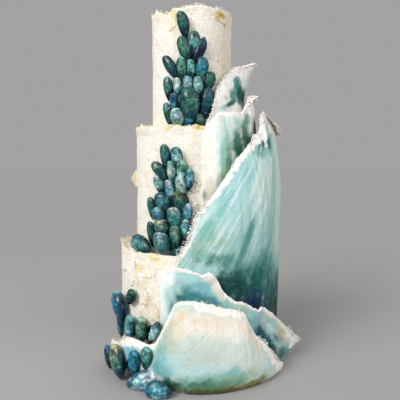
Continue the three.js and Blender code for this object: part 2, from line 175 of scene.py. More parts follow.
# A wave is made of walls that bulge between a foot and a torn edge. The edge runs from left to right
# as (azimuth, radius, height), the foot as (azimuth, radius, height, bulge). lip is how far the wall
# stands free below its edge before it is backed down to the core radius. flow is how its brush strokes
# run and streaks how strong they are. border is how far down the torn icing is bare, as (azimuth, mm).
# paint and inside are dabs: (pot, azimuth, height, half width, half height in mm, slant in degrees,
# strength), over the pots under and inner.
WAVES = {
    "wave_upper": [
        {
            "edge": [
                (10, 88.2, 356), (16, 89.4, 368), (22, 91, 378), (28, 91.5, 383), (39, 94, 384),
                (52, 96, 386),
                (60, 96, 397), (64, 97, 408), (68, 98, 412), (72, 99, 407), (77, 95, 396), (84, 90.5, 385),
                (100, 91, 378), (120, 91.5, 370), (140, 90.4, 364),
            ],
            "foot": [
                (10, 88, 245, 0), (18, 91, 245, 1), (30, 96, 245, 3), (60, 101, 245, 1), (72, 104, 245, 1),
                (84, 107, 245, 2), (92, 109, 245, 2), (120, 102, 245, 3), (140, 90.4, 245, 0),
            ],
            "bulge_power": 2, "flare": 3.5, "thickness": 3.6, "lip": 18, "core": 50,
            "columns": 260, "rows": 70, "inner_rows": 20,
            "flow": ("slant", 4), "streaks": 0.22, "under": "shell_white", "inner": "shell_white",
            "paint": [
                ("cream", 12, 320, 16, 100, 0, 0.9), ("pale", 25, 300, 9, 60, 4, 0.5),
                ("pale", 34, 358, 24, 22, 0, 0.9), ("stone", 28, 374, 8, 10, 0, 0.45),
                ("mint", 29, 326, 8, 36, 4, 0.95), ("sage", 30, 296, 7, 20, 6, 0.95),
                ("seafoam", 28, 316, 4, 22, 2, 0.6), ("mint", 45, 368, 12, 10, 0, 0.7),
                ("sage", 34, 322, 8, 32, -6, 0.95), ("seafoam", 54, 366, 10, 14, -10, 0.8),
                ("seafoam", 38, 348, 8, 10, 0, 0.5), ("pale", 46, 322, 5, 24, -10, 0.5),
                ("moss", 33, 310, 7, 18, 5, 0.7),
                ("sage", 28.5, 296, 6, 14, 6, 0.8), ("moss", 43, 342, 10, 16, -12, 0.95),
                ("moss", 53, 354, 9, 16, -18, 0.8), ("green", 44, 332, 20, 16, -22, 1.0),
                ("moss", 43, 350, 10, 12, -20, 0.7),
                ("green", 56, 346, 18, 20, -22, 1.0), ("fir", 62, 336, 20, 18, -24, 1.0),
                ("moss", 58, 378, 10, 12, -10, 0.8), ("fir", 72, 356, 14, 24, -12, 1.0),
                ("green", 26.5, 286, 4, 12, 8, 0.9),
                ("stone", 18, 262, 10, 26, 0, 0.55), ("beige", 17, 270, 10, 24, 0, 0.6),
                ("stone", 25, 282, 6, 18, 0, 0.9), ("moss", 12.5, 266, 4, 9, 0, 0.7),
                ("fir", 88, 345, 10, 44, -6, 0.9), ("teal", 105, 320, 36, 60, 0, 0.7),
                ("mint", 125, 330, 20, 50, 0, 0.6),
            ],
            "inside": [("teal", 40, 372, 40, 8, 0, 0.8), ("ice", 56, 384, 14, 8, 0, 0.5)],
            "border": [(10, 0.4), (20, 1), (28, 2.2), (54, 2.5), (60, 6), (70, 6), (80, 3), (140, 3)],
        },
        {
            "edge": [
                (14, 88, 366), (22, 84, 388), (28, 77, 411), (39, 73.5, 431), (53, 79, 450), (64, 90, 457),
                (73, 104, 461), (79, 84, 450), (87, 90, 436), (92, 85, 424), (110, 86, 368),
            ],
            "foot": [
                (14, 87, 361.5, 0), (30, 82, 361.5, 0), (50, 80, 361.5, 0), (80, 84, 361.5, 0),
                (110, 85, 361.5, 0),
            ],
            "bulge_power": 1, "flare": 3, "thickness": 3.2, "lip": 400, "core": 50,
            "columns": 240, "rows": 60, "inner_rows": 50,
            "flow": ("slant", 30), "streaks": 0.25, "under": "shell_white", "inner": "stone",
            "paint": [
                ("pale", 70, 438, 8, 24, 0, 0.8),
                ("seafoam", 56, 432, 7, 18, -12, 0.9), ("sea", 57, 425, 11, 19, -12, 1.0),
                ("sea", 52, 411, 12, 11, 0, 1.0), ("teal", 61, 419, 10, 15, -6, 1.0),
                ("fir", 66, 412, 18, 13, -8, 1.0), ("stone", 40, 408, 8, 6, 0, 0.6),
                ("teal", 46, 399, 24, 4.4, -15, 1.0), ("ice", 36, 391, 14, 4, 0, 0.8),
                ("slate", 60, 408, 6, 4, 20, 0.5), ("slate", 48, 409, 2, 2, 30, 0.7),
                ("speck", 43, 407, 1.5, 1.5, 0, 0.7), ("bark", 50, 405, 1.6, 1.6, 0, 0.6),
                ("deep", 76, 394, 20, 12, 0, 0.9),
            ],
            "inside": [],
            "border": [(14, 6), (40, 8), (58, 9), (66, 5), (110, 4)],
        },
    ],
    "wave_main": [
        {
            "edge": [
                (-9, 117.5, 176), (-1, 116, 204), (4, 110, 234), (10, 108.5, 250), (24, 108, 282),
                (40, 113, 324), (56, 117, 351), (61, 117.5, 361), (63.5, 118, 382), (67, 119, 385),
                (71, 122, 379),
                (76, 127, 372), (82, 131, 361), (93, 130, 350), (105, 126, 335), (120, 122, 304),
                (135, 119, 262), (163, 116.5, 196),
            ],
            "foot": [
                (-9, 116, 162, 1), (0, 116.5, 148, 3), (8, 117, 125, 7), (18, 120, 90, 13),
                (30, 124, 50, 18),
                (50, 132, 12, 19), (62, 136, 0, 16), (75, 140, 0, 9), (90, 141, 0, 7), (110, 138, 0, 8),
                (140, 127, 0, 6), (163, 116.5, 0, 0),
            ],
            "bulge_power": 2, "flare": 1, "thickness": 4, "lip": 26, "core": 50,
            "columns": 420, "rows": 130, "inner_rows": 24,
            "flow": ("fan", 76, 412), "streaks": 1.0, "under": "wash", "inner": "cream",
            "paint": [
                ("ice", 30, 266, 22, 60, 28, 0.4), ("pale", 12, 222, 20, 34, 10, 0.6),
                ("sky", 26, 268, 10, 44, 30, 0.4),
                ("pale", 50, 275, 16, 90, 22, 0.9), ("pale", 74, 265, 20, 100, 4, 0.95),
                ("seafoam", 24, 262, 8, 40, 30, 0.35),
                ("seafoam", 16, 232, 8, 20, 24, 0.45), ("sky", 38, 292, 8, 22, 28, 0.5),
                # Sea and teal at azimuth 60, height 343 to 345: painted shade under the curl of the crest.
                ("seafoam", 56, 326, 12, 8, 24, 0.6), ("sea", 60, 343, 17, 13, 14, 1.0),
                ("sea", 50, 330, 12, 7, 30, 0.6),
                ("pale", 76, 325, 9, 40, 0, 0.8), ("teal", 60, 345, 13, 9, 14, 0.8),
                ("sage", 17, 206, 20, 20, 20, 0.9), ("seafoam", 10, 214, 10, 18, 20, 0.6),
                ("seafoam", 37, 208, 10, 46, 16, 0.75), ("sea", 36, 204, 6, 34, 14, 0.85),
                ("seafoam", 58, 205, 8, 46, 6, 0.4), ("sage", 8, 190, 16, 10, 20, 0.7),
                ("seafoam", 10, 182, 18, 9, 14, 0.9), ("sea", 22, 176, 24, 12, 8, 0.85),
                ("moss", 16, 182, 12, 8, 10, 0.7), ("green", 12, 174, 9, 6, 0, 0.6),
                ("olive", 6, 177, 8, 4, 20, 0.5), ("sea", 50, 160, 44, 24, 6, 0.9),
                ("teal", 32, 156, 34, 14, 10, 0.85), ("teal", 30, 140, 34, 20, 8, 1.0),
                ("teal", 66, 112, 46, 44, 0, 0.95), ("deep", 28, 138, 28, 18, 22, 1.0),
                ("deep", 66, 92, 30, 26, 0, 0.9), ("navy", 44, 112, 20, 10, 14, 1.0),
                ("ink", 74, 76, 16, 34, 0, 0.85), ("lagoon", 52, 126, 24, 9, 10, 0.5),
                ("seafoam", 57, 190, 2.5, 30, 9, 0.5),
                ("sea", 64, 165, 3, 26, 6, 0.5), ("ice", 67, 210, 3, 40, 6, 0.5),
                ("pale", 77, 225, 7, 60, 2, 0.7), ("teal", 100, 110, 44, 60, 0, 0.9),
                ("sea", 100, 210, 40, 60, 0, 0.5), ("deep", 112, 45, 80, 40, 0, 0.9),
                ("sky", 118, 200, 20, 70, -10, 0.6), ("pale", 135, 150, 20, 80, -14, 0.6),
            ],
            "inside": [("seafoam", 75, 350, 40, 18, 0, 0.5)],
            "border": [
                (-9, 3), (12, 3), (24, 3.5), (36, 5), (50, 6.5), (60, 8), (66, 16), (72, 16), (80, 11),
                (92, 8), (100, 6), (163, 4),
            ],
        },
    ],
    "wave_lower": [
        {
            "edge": [
                (-22, 114.4, 150), (-15, 116.3, 163), (-8, 119, 166), (3, 122, 162), (8, 123.5, 158),
                (12, 125, 161),
                (16.5, 126.5, 153), (21, 128.5, 134), (28, 132, 120), (34, 135, 116), (43, 140, 103),
                (48.5, 143, 103), (61, 152, 77), (73, 164, 48), (79, 174, 31), (85, 162, 26), (95, 156, 38),
                (106, 151, 34), (118, 147, 38), (131, 141, 20),
            ],
            "foot": [
                (-22, 114.6, 0, 0), (-14, 117.5, 0, 0), (0, 121, 0, 0), (20, 127, 0, -2), (40, 133, 0, -3),
                (55, 138, 0, -3), (66, 145, 0, -3), (78, 151, 0, 0), (95, 152, 0, 0), (115, 148, 0, 0),
                (131, 141, 0, 0),
            ],
            "bulge_power": 1.6, "flare": 1, "thickness": 3.6, "lip": 22, "core": 90,
            "columns": 400, "rows": 70, "inner_rows": 22,
            "flow": ("lip", 0), "streaks": 0.35, "under": "wash", "inner": "cream",
            "paint": [
                ("ice", 0, 153, 24, 8, 0, 0.7), ("sky", 6, 141, 22, 12, 0, 0.85),
                ("lilac", -6, 147, 9, 6, 0, 0.6),
                ("sea", -3, 138, 10, 7, 0, 0.8), ("sky", 12, 128, 14, 8, 0, 0.8),
                ("slate", -1, 128, 26, 8, 0, 1.0), ("lagoon", -7, 124, 9, 6, 0, 0.7),
                ("slate", 14, 120, 22, 8, 16, 0.9), ("lagoon", -10.5, 114, 6, 13, -16, 0.9),
                ("slate", -13.5, 100, 6, 18, -16, 0.9), ("seafoam", -18, 90, 5, 20, -16, 0.6),
                ("mint", -17, 118, 6, 20, -14, 0.6), ("cream", -25, 96, 11, 120, -5, 1.0),
                ("snow", -17, 152, 13, 19, 25, 1.0), ("snow", -21, 122, 9, 34, -14, 0.8),
                ("pale", -13, 128, 5, 22, -30, 0.5),
                ("peach", 12, 157, 12, 8, 0, 1.0), ("peach", 17, 142, 8, 13, -14, 1.0),
                ("sea", 22, 126, 8, 6, 20, 0.5),
                ("beige", 20, 128, 6, 8, -20, 0.8), ("beige", 29, 119, 20, 4, 30, 0.7),
                ("stone", 32, 110, 16, 5, 28, 0.8), ("seafoam", 26, 106, 16, 5, 24, 0.7),
                # Lagoon, teal and deep band at azimuth 48 to 61: painted shade beside the front wave.
                # Sky and lilac at azimuth 42 to 46: painted highlights.
                ("beige", 53, 92, 14, 5, 34, 0.8), ("sky", 42, 86, 9, 12, -30, 0.9),
                ("lilac", 46, 84, 6, 8, 0, 0.7), ("lagoon", 48, 64, 9, 18, -34, 1.0),
                ("teal", 54, 46, 10, 20, -34, 1.0), ("deep", 59, 28, 9, 14, -34, 0.95),
                ("stone", 51, 82, 6, 9, -34, 0.7), ("pale", 57, 64, 3.5, 18, -34, 0.8),
                ("lagoon", 61, 50, 3, 14, -34, 0.7), ("tan", 64, 58, 5, 18, -34, 0.8),
                ("beige", 69, 44, 7, 14, -34, 0.8), ("bark", 66, 44, 3, 11, -34, 0.4),
                ("teal", 68, 16, 14, 14, -30, 0.9), ("teal", 95, 16, 50, 14, 0, 0.6),
            ],
            "inside": [],
            "border": [
                (-22, 0.4), (-16, 2), (-10, 3.5), (-4, 2.2), (12, 1.8), (28, 1.8), (46, 2.2), (64, 3.5),
                (72, 10),
                (84, 11), (100, 5), (131, 4),
            ],
        },
    ],
    "wave_front": [
        {
            "edge": [
                (-84, 118, 20), (-68, 134, 38), (-52, 138, 48), (-41, 137, 62), (-23, 137, 61),
                (-19, 136, 74),
                (-11.5, 132, 110), (-9, 131, 120), (-3, 130, 124), (9, 131.5, 120), (20, 134.5, 113),
                (30, 138.5, 107), (33, 140, 101), (36.5, 143, 83), (40, 145.5, 68), (45, 148, 57),
                (50, 151, 39), (57, 153, 20), (66, 154, 7),
            ],
            "foot": [
                (-84, 117, 0, 4), (-60, 121, 0, 10), (-40, 124, 0, 12), (-25, 127, 0, 12),
                (-12, 135, 0, 12),
                (0, 143, 0, 12), (20, 147, 0, 12), (45, 150, 0, 8), (58, 152, 0, 3), (66, 153, 0, 1),
            ],
            "bulge_power": 0.7, "flare": 1, "thickness": 4, "lip": 18, "core": 90,
            "columns": 400, "rows": 80, "inner_rows": 20,
            "flow": ("slant", -44), "streaks": 0.3, "under": "pearl", "inner": "cream",
            "paint": [
                ("peach", 14, 94, 60, 17, 6, 0.95), ("beige", 15, 96, 30, 9, 6, 0.6),
                ("cream", 26, 82, 20, 12, 0, 0.4), ("tan", 4, 100, 12, 5, 10, 0.3),
                ("beige", -6, 106, 8, 12, 16, 0.9),
                ("tan", -6, 104, 5, 12, 16, 0.45), ("beige", -9, 84, 8, 14, 18, 0.8),
                ("tan", -12, 88, 3, 18, 18, 0.8), ("beige", 36, 66, 7, 22, -30, 0.8),
                ("peach", 31, 92, 5, 12, -20, 0.9), ("pale", -8, 64, 12, 14, 0, 0.8),
                ("stone", -12, 68, 14, 28, 12, 0.95), ("beige", -6, 86, 10, 12, 10, 0.7),
                ("seafoam", -17, 48, 9, 24, 12, 0.8),
                ("sky", -15, 36, 16, 16, 0, 1.0), ("denim", -18, 34, 7, 10, 0, 0.4),
                ("seafoam", -16, 36, 6, 12, 0, 0.8), ("ice", -2, 44, 26, 18, 0, 0.9),
                ("stone", 4, 58, 30, 20, 0, 0.65),
                ("ice", 12, 38, 24, 8, 0, 0.5), ("stone", 32, 28, 16, 8, 0, 0.6),
                ("sky", 21, 31, 8, 13, 40, 0.85), ("sky", 24, 25, 9, 6, 0, 0.6),
                ("ice", -45, 40, 34, 18, 0, 0.9), ("sky", -38, 44, 14, 14, 0, 0.8),
                ("stone", -27, 52, 10, 16, 0, 1.0), ("sage", -24, 50, 6, 12, 0, 0.35),
                ("sky", -60, 20, 24, 16, 0, 0.6),
                ("ice", 46, 26, 14, 12, 0, 0.5), ("seafoam", 10, 24, 52, 9, 0, 0.75),
                # Dark dabs along the foot: painted shade where the wave turns under to the floor.
                ("sage", 16, 20, 50, 8, 0, 0.9), ("moss", 6, 13, 52, 10, 0, 1.0),
                ("teal", -12, 16, 8, 7, 0, 0.8), ("fir", -11, 8, 13, 10, 0, 1.0),
                ("olive", 14, 7, 50, 7, 0, 0.9), ("bark", 20, 2, 46, 6, 0, 0.9),
                ("fir", 8, 5, 34, 6, 0, 0.6),
                ("olive", 36, 10, 16, 5, -12, 0.85), ("bark", 40, 5, 14, 4, -12, 0.7),
                ("teal", -24, 7, 14, 8, 0, 0.7), ("sage", -60, 8, 30, 8, 0, 0.5),
            ],
            "inside": [],
            "border": [
                (-84, 4), (-50, 5), (-40, 10), (-26, 8), (-20, 2), (-10, 1.6), (-3, 2), (0, 4), (6, 10),
                (12, 7),
                (17, 8.5), (23, 5.5), (28, 8), (31, 6), (34, 2.5), (40, 3), (43, 6), (48, 11), (60, 12),
                (66, 8),
            ],
        },
    ],
}
# Rows crowd towards a wave's edge by this power, its lip has this many rows, and its back meets the core
# over this many mm.
ROW_CROWDING = 1.25
LIP_ROWS = 5
BACKED_RAMP = 12
# How far a degree of azimuth reaches across a wave, in mm, for laying out the paint.
PAINT_REACH = 2.25
# How far apart two brush strokes of a fan lie for a radian between them, in metres.
FAN_REACH = 0.16
# Points that a smooth track is measured at.
TRACK_POINTS = 4000

# Torn crumbs that cling to an edge: wave, wall, from azimuth, to azimuth, count, size, spread in mm.
CRUMBS = [
    ("wave_main", 0, -9, 14, 420, 3.4, 8.5), ("wave_main", 0, 20, 58, 60, 2.0, 1.6),
    ("wave_main", 0, 24, 34, 40, 2.4, 3.0),
    ("wave_main", 0, 62, 84, 80, 3.0, 3.0), ("wave_upper", 1, 15, 50, 150, 2.6, 3.0),
    ("wave_upper", 1, 50, 76, 60, 2.6, 2.0), ("wave_upper", 0, 60, 76, 60, 2.8, 2.6),
    ("wave_lower", 0, 68, 84, 190, 3.2, 5.0), ("wave_front", 0, 3, 31, 110, 2.2, 4.0),
    ("wave_front", 0, 41, 60, 220, 3.0, 5.5),
]

# Frills of torn icing: wave, wall, from azimuth, to azimuth, height in mm, lean and curl in degrees,
# ruffle in mm, share torn away, pots at the root and the tip.
FRILLS = [
    ("wave_main", 0, 61, 70, 5, 0, 40, 3.0, 0.18, "shell_white", "shell_white"),
    ("wave_main", 0, 68, 86, 13, 60, 110, 3.5, 0.2, "speck", "peach"),
    ("wave_main", 0, -9, 9, 8, -20, 80, 3.0, 0.35, "shell_white", "snow"),
    ("wave_main", 0, 26, 42, 3.5, -30, 40, 2.0, 0.4, "shell_white", "snow"),
    ("wave_main", 0, 44, 60, 4, 0, 50, 2.0, 0.3, "shell_white", "shell_white"),
    ("wave_upper", 0, 60, 78, 12, 45, 100, 3.0, 0.2, "beige", "shell_white"),
    ("wave_upper", 1, 20, 62, 5, -10, 60, 2.5, 0.35, "shell_white", "snow"),
    ("wave_upper", 1, 62, 82, 4, 60, 60, 2.0, 0.3, "shell_white", "shell_white"),
    ("wave_lower", 0, 68, 86, 4, 50, 80, 2.5, 0.25, "shell_white", "peach"),
    ("wave_front", 0, 44, 62, 5, 20, 90, 2.5, 0.3, "shell_white", "peach"),
    ("wave_front", 0, -58, -28, 4, 10, 60, 2.0, 0.25, "shell_white", "peach"),
]
FRILL_THICKNESS = 0.8
# Paper fibres on each rim: height in mm, lean and curl in degrees, ruffle in mm.
FRINGE = {"tier_bottom": (4.0, 0, 20, 2.0), "tier_middle": (4.5, 0, 25, 2.0), "tier_top": (5.0, 0, 30, 2.2)}
# Ink-dark mussel shapes behind each cluster, painted shade that fills the gaps between its mussels:
# azimuth, height, length, width and lean.
SHADE_MUSSELS = {
    "shell_top": [
        (-3, 472, 30, 14, 0), (5, 462, 28, 14, 15), (-18, 440, 30, 14, -10), (-6, 440, 26, 12, 0),
        (6, 440, 28, 12, 0), (-23, 412, 30, 12, 0), (-11, 412, 32, 14, 0), (1.5, 420, 26, 12, 0),
        (14, 414, 30, 14, 5), (8, 392, 40, 14, 5), (-15, 395, 34, 14, 0), (-24, 380, 30, 14, 0),
        (-9, 378, 26, 14, 0), (4, 378, 26, 13, 0), (15, 376, 24, 12, 0),
    ],
    "shell_middle": [
        (-17, 312, 30, 13, 0), (-23, 292, 30, 13, -15), (-13.5, 292, 30, 13, 0), (-5, 290, 30, 13, 0),
        (-23, 270, 30, 14, -10), (-13, 264, 28, 14, 0), (-18, 248, 32, 15, -10), (-32, 232, 30, 14, -10),
        (-20, 225, 30, 16, 0), (-7, 252, 36, 14, 0), (-8, 228, 36, 15, 5), (-8, 205, 34, 15, 0),
        (-31, 203, 34, 14, -5), (-19.5, 202, 36, 14, 0),
    ],
    "shell_low": [(-53, 66, 32, 14, 0), (-41, 64, 32, 14, 5), (-30, 66, 30, 13, 15)],
    "shell_foot": [(-39, 24, 30, 14, 0), (-29.5, 30, 28, 12, 5)],
}
# How far the painted-shade mussels sink towards the wall in mm, and how far they tip in degrees.
SHADE_MUSSELS_SINK = 4.5
SHADE_MUSSELS_TILT = 3
# How much wider and longer a mussel is made, so that neighbours touch.
SNUG = (1.12, 1.04)
# Mussels: azimuth, height, length, width, lean, then colours of head, belly and foot, and stripes.
# The height and azimuth are of the middle. Lean turns the broad head from upright to the right.
CLUSTERS = {
    "shell_top": {"wall": 62, "tilt": 8, "mussels": [
        (-9.3, 508, 37, 15.5, -12, "moss", "teal", "ink", 0.3),
        (-8.3, 474, 35, 17, -14, "moss", "moss", "deep", 0.3),
        (2, 481.5, 35, 16, 12, "moss", "seafoam", "navy", 0.2),
        (9.3, 472, 36, 14, 25, "denim", "navy", "ink", 0.1),
        (-25.5, 450, 37, 14.5, -28, "teal", "teal", "navy", 0.2),
        (-11.5, 447, 32, 14.5, -3, "mint", "moss", "fir", 0.3),
        (-0.5, 446, 27, 13, -3, "mint", "seafoam", "deep", 0.5),
        (12, 448, 30, 17, 9, "slate", "cyan", "moss", 0.2),
        (21.5, 430, 28, 15.5, 13, "moss", "green", "ink", 0.3),
        (-29, 420, 35, 13.5, -3, "seafoam", "moss", "ink", 0.3),
        (-17.5, 423, 24, 12, 3, "stone", "pale", "mint", 0.3),
        (-4.5, 426, 20, 14, 2, "ice", "pale", "sea", 0.3),
        (7.5, 422, 27, 13.5, -3, "pale", "mint", "moss", 0.2),
        (-2.2, 396, 46, 26, -5, "green", "moss", "lagoon", 0.6),
        (17.3, 397, 44, 19.5, 12, "slate", "lagoon", "navy", 0.4),
        (-30, 384, 32, 12.5, -8, "seafoam", "green", "ink", 0.3),
        (-22.5, 402, 26, 11.5, 10, "navy", "blue", "sky", 0.2),
        (-17, 377, 27, 19.5, -4, "ice", "lilac", "sage", 0.8),
        (-3, 373, 19, 14, 2, "blue", "cyan", "navy", 0.3),
        (10.5, 373, 20, 14, -3, "sage", "moss", "ink", 0.9),
    ]},
    "shell_middle": {"wall": 88, "tilt": 8, "mussels": [
        (-22.5, 321, 34, 14, -2, "moss", "slate", "deep", 0.7),
        (-12.2, 320, 29, 15.5, -5, "sea", "ice", "teal", 0.3),
        (-28, 300, 32, 15, -36, "sage", "teal", "deep", 0.8),
        (-17, 298, 33, 12.5, -2, "mint", "stone", "teal", 0.3),
        (-7.8, 303, 27, 15, 10, "sage", "green", "mint", 1.0),
        (-1.5, 288, 32, 12, 5, "seafoam", "sky", "navy", 0.2),
        (-28.3, 280, 31, 14, -17, "stone", "mint", "navy", 0.4),
        (-18.2, 273, 30, 14, -10, "lilac", "sky", "teal", 0.3),
        (-9, 280, 29, 15, -2, "pale", "stone", "sky", 0.6),
        (-24.2, 256, 30, 20.5, -27, "slate", "slate", "deep", 0.4),
        (-10, 257, 31, 17, -14, "olive", "teal", "deep", 0.6),
        (-36.8, 246, 33, 13.5, -4, "moss", "teal", "deep", 0.3),
        (-28.3, 236, 26, 19, -19, "sky", "denim", "teal", 0.4),
        (-14, 234, 31, 21, -10, "stone", "sea", "teal", 1.0),
        (-26, 219, 27, 21, -7, "straw", "moss", "deep", 0.5),
        (-37.2, 208, 38, 13.5, -3, "slate", "teal", "ink", 0.4),
        (-14, 207, 36, 16, 3, "sage", "moss", "fir", 0.5),
        (-25.8, 197, 34, 23.5, -4, "lilac", "moss", "slate", 0.9),
        (-3.6, 241, 28, 13, 8, "lilac", "sky", "blue", 0.3),
    ]},
    "shell_low": {"wall": 114, "tilt": 5, "mussels": [
        (-59.5, 95, 48, 27, -18, "sky", "blue", "navy", 0.4),
        (-47, 116, 28, 16, 33, "green", "fir", "ink", 0.3),
        (-64, 61, 36, 15, 4, "cyan", "cyan", "deep", 0.3),
        (-47.5, 70, 40, 19.5, 10, "seafoam", "sky", "lagoon", 0.3),
        (-35.5, 73, 39, 19, 7, "sage", "moss", "ink", 0.5),
        (-25.5, 74, 33, 13.5, 30, "navy", "ice", "mint", 0.3),
    ]},
    "shell_foot": {"wall": 135, "tilt": 4, "mussels": [
        (-61, 19, 34, 17, -14, "cyan", "lagoon", "ink", 0.5),
        (-45.8, 27, 49, 26, -12, "straw", "moss", "navy", 0.6),
        (-33.7, 33, 38, 18.5, 9, "cyan", "cyan", "lagoon", 0.3),
        (-25.5, 44.5, 33, 16, 5, "mint", "sea", "deep", 0.3),
    ]},
}
# The second half of a mussel that lies open against the first.
MATES = {
    "shell_top_04": (13.5, 477, 30, 9, 10, "moss", "green", "navy", 0.2),
    "shell_top_09": (15.8, 427, 24, 9.5, 10, "moss", "fir", "ink", 0.3),
    "shell_top_15": (14.8, 385, 32, 14.5, 16, "navy", "navy", "deep", 0.1),
    "shell_middle_19": (-4.6, 217, 29, 14.5, -2, "ice", "seafoam", "slate", 0.3),
}
# Mussels that lie flat: azimuth, radius, height, length, width, lean, facing, then as above.
LYING = {
    "shell_ledge_left": (-46, 103, 191, 47, 23, -78, -46, "ice", "sea", "deep", 0.4),
    "shell_ledge_right": (-10, 102, 187.5, 30, 13, 68, -10, "blue", "lagoon", "deep", 0.2),
    "shell_pearl": (-27.8, 147, 14.5, 44, 24, 66, -12, "snow", "ice", "denim", 0.4),
    "shell_stray": (-15.6, 157, 9, 36, 22, -84, -8, "cyan", "sky", "lagoon", 0.4),
}
# A mussel's form: segments and rings, depth to width, how high its broad end sits, how full it is, how
# flat its growth rings are, and how far it hooks sideways to its width.
SHELL_SEGMENTS = 48
SHELL_RINGS = 40
SHELL_DEPTH = 0.74
UMBO_POWER = 1.28
ARCH_POWER = 0.46
RING_FLATNESS = 0.5
HOOK = 0.07
# A mussel's growth ridges: how often they beat over its length, in radians, and their latest start.
RIDGE_BEAT = (40, 52)
RIDGE_START = 6
# A standing mussel's gap to the wall in mm, and how much tipping moves it out, to its length.
STAND_OFF = 1.0
TILT_LIFT = 0.35

# The camera stands where the photograph was taken from: place in metres, tilt down in degrees, lens and
# sensor in mm, and where its view starts in metres.
CAMERA_PLACE = (0.013, -0.700, 0.309)
CAMERA_DOWN = 4.65
CAMERA_LENS = 38.7
SENSOR_WIDTH = 36
CLIP_START = 0.01
# The floor's side in metres and its two tones, and the light that fills the room.
FLOOR_SIZE = 60
FLOOR_TONES = ((0.375, 0.368, 0.367), (0.395, 0.388, 0.387))
ROOM_COLOUR = (0.50, 0.49, 0.49, 1)
ROOM_STRENGTH = 0.74
# Suns: name, turn, rise and spread in degrees, strength.
SUNS = (("key", -42, 38, 40, 1.7), ("fill", 46, 25, 60, 1.05), ("back", 165, 35, 60, 0.35))
# The small lamp that the glaze mirrors: place, target and size in metres, power in watts.
SHINE_PLACE = (-0.8, -1.1, 0.95)
SHINE_TARGET = (0, 0, 0.27)
SHINE_SIZE = 0.35
SHINE_POWER = 6


def linear(code):
    """A colour code such as 0xf3ece0 as the linear red, green and blue that shaders use."""
    parts = [((code >> shift) & 255) / 255 for shift in (16, 8, 0)]
    return tuple(c / 12.92 if c <= 0.04045 else ((c + 0.055) / 1.055) ** 2.4 for c in parts)


def colour(label, code):
    """A colour that a user can change."""
    return FloatVectorProperty(
        name=label, description=f"{label} of the icing and the glaze", subtype="COLOR", size=3,
        min=0, max=1, default=linear(code),
    )


class CakePalette(bpy.types.PropertyGroup):
    """The decorator's pots of colour."""

    cream: colour("Cream", 0xF7F3E6)
    shell_white: colour("Shell white", 0xFAF8F3)
    snow: colour("Snow", 0xF3F8F7)
    beige: colour("Beige", 0xE6DAC4)
    tan: colour("Tan", 0xD8BF95)
    peach: colour("Peach", 0xECE1D4)
    lemon: colour("Lemon", 0xF1E5AC)
    gold: colour("Gold", 0xDDB95E)
    bark: colour("Bark", 0x6A552A)
    speck: colour("Speck", 0x8C8577)
    wash: colour("Wash", 0xA6CECA)
    pearl: colour("Pearl", 0xCCD8CF)
    stone: colour("Stone", 0xB9C5B6)
    pale: colour("Pale", 0xD0E6E0)
    ice: colour("Ice", 0xB0D6D8)
    mint: colour("Mint", 0x94D0C2)
    seafoam: colour("Sea foam", 0x76B8AE)
    sea: colour("Sea", 0x4A9088)
    teal: colour("Teal", 0x1B625C)
    lagoon: colour("Lagoon", 0x14525E)
    deep: colour("Deep", 0x0A4342)
    ink: colour("Ink", 0x061C26)
    navy: colour("Navy", 0x0A2A48)
    denim: colour("Denim", 0x2C607C)
    blue: colour("Blue", 0x216C8C)
    cyan: colour("Cyan", 0x2788A4)
    sky: colour("Sky", 0x78B4BE)
    lilac: colour("Lilac", 0xA6B6C4)
    slate: colour("Slate", 0x3C7C82)
    sage: colour("Sage", 0x8DB496)
    moss: colour("Moss", 0x4A826E)
    green: colour("Green", 0x2A6A56)
    fir: colour("Fir", 0x144638)
    olive: colour("Olive", 0x6F7A40)
    straw: colour("Straw", 0xB4B48A)


class CakeShape(bpy.types.PropertyGroup):
    """How crumpled, torn and ridged the cake is."""

    crumple: FloatProperty(
        name="Crumple", description="How deep the paper icing is crumpled", default=0.0013,
        min=0, max=0.003, unit="LENGTH", precision=4,
    )
    rim_torn: FloatProperty(
        name="Torn rim", description="How ragged the tiers' paper rims are", default=0.0015,
        min=0, max=0.004, unit="LENGTH", precision=4,
    )
    edge_torn: FloatProperty(
        name="Torn edge", description="How ragged the waves' edges are", default=0.0020,
        min=0, max=0.005, unit="LENGTH", precision=4,
    )
    folds: FloatProperty(
        name="Folds", description="How deep the soft folds in the waves are", default=0.0016,
        min=0, max=0.004, unit="LENGTH", precision=4,
    )
    ridges: FloatProperty(
        name="Ridges", description="Height of a mussel's growth ridges as a share of its width",
        default=0.005, min=0, max=0.04,
    )


def palette(name):
    """A pot's red, green and blue."""
    return np.array(getattr(bpy.context.scene.cake_palette, name)[:])


# Small sums on arrays.
def smooth(low, high, value):
    t = np.clip((value - low) / (high - low), 0, 1)
    return t * t * (3 - 2 * t)


def lerp(a, b, t):
    return a + (b - a) * t


def place(azimuth, radius, height):
    """Points in metres from azimuths in degrees and radii and heights in mm."""
    turn = np.radians(azimuth)
    return np.stack([radius * np.sin(turn), -radius * np.cos(turn), height + 0 * turn], -1) * MM


def stations_at(stations, azimuth):
    """What stations of (azimuth, ...values) hold at azimuths, straight between them."""
    table = np.array(stations, float)
    return [np.interp(azimuth, table[:, 0], table[:, k]) for k in range(1, table.shape[1])]


def ragged(along, seed):
    """Three sines that never meet in step, each as its share, how often it swings and its shift."""
    waves = ((0.5, 5.3, 1), (0.3, 11.7, 2), (0.2, 23.1, 3))
    return sum(share * np.sin(along * often + shift * seed) for share, often, shift in waves)


def cloud(points, size, seed=0.0):
    """Noise between about -1 and 1 at points, with lumps of about size."""
    scaled = points / np.asarray(size) + seed
    flat = scaled.reshape(-1, 3).tolist()
    return np.array([noise.noise(p) for p in flat]).reshape(points.shape[:-1])


def clouds(points, seed, *layers, base=0.0):
    """A base plus noise of several sizes, each as its share, its size and what it adds to the seed."""
    for share, size, offset in layers:
        base = base + share * cloud(points, size, seed + offset)
    return base


def on_plane(x, y):
    """Points without height, for reading noise along a sheet."""
    return np.stack([x, y, 0 * y], -1)


def azimuth_of(points):
    return np.degrees(np.arctan2(points[:, 0], -points[:, 1]))


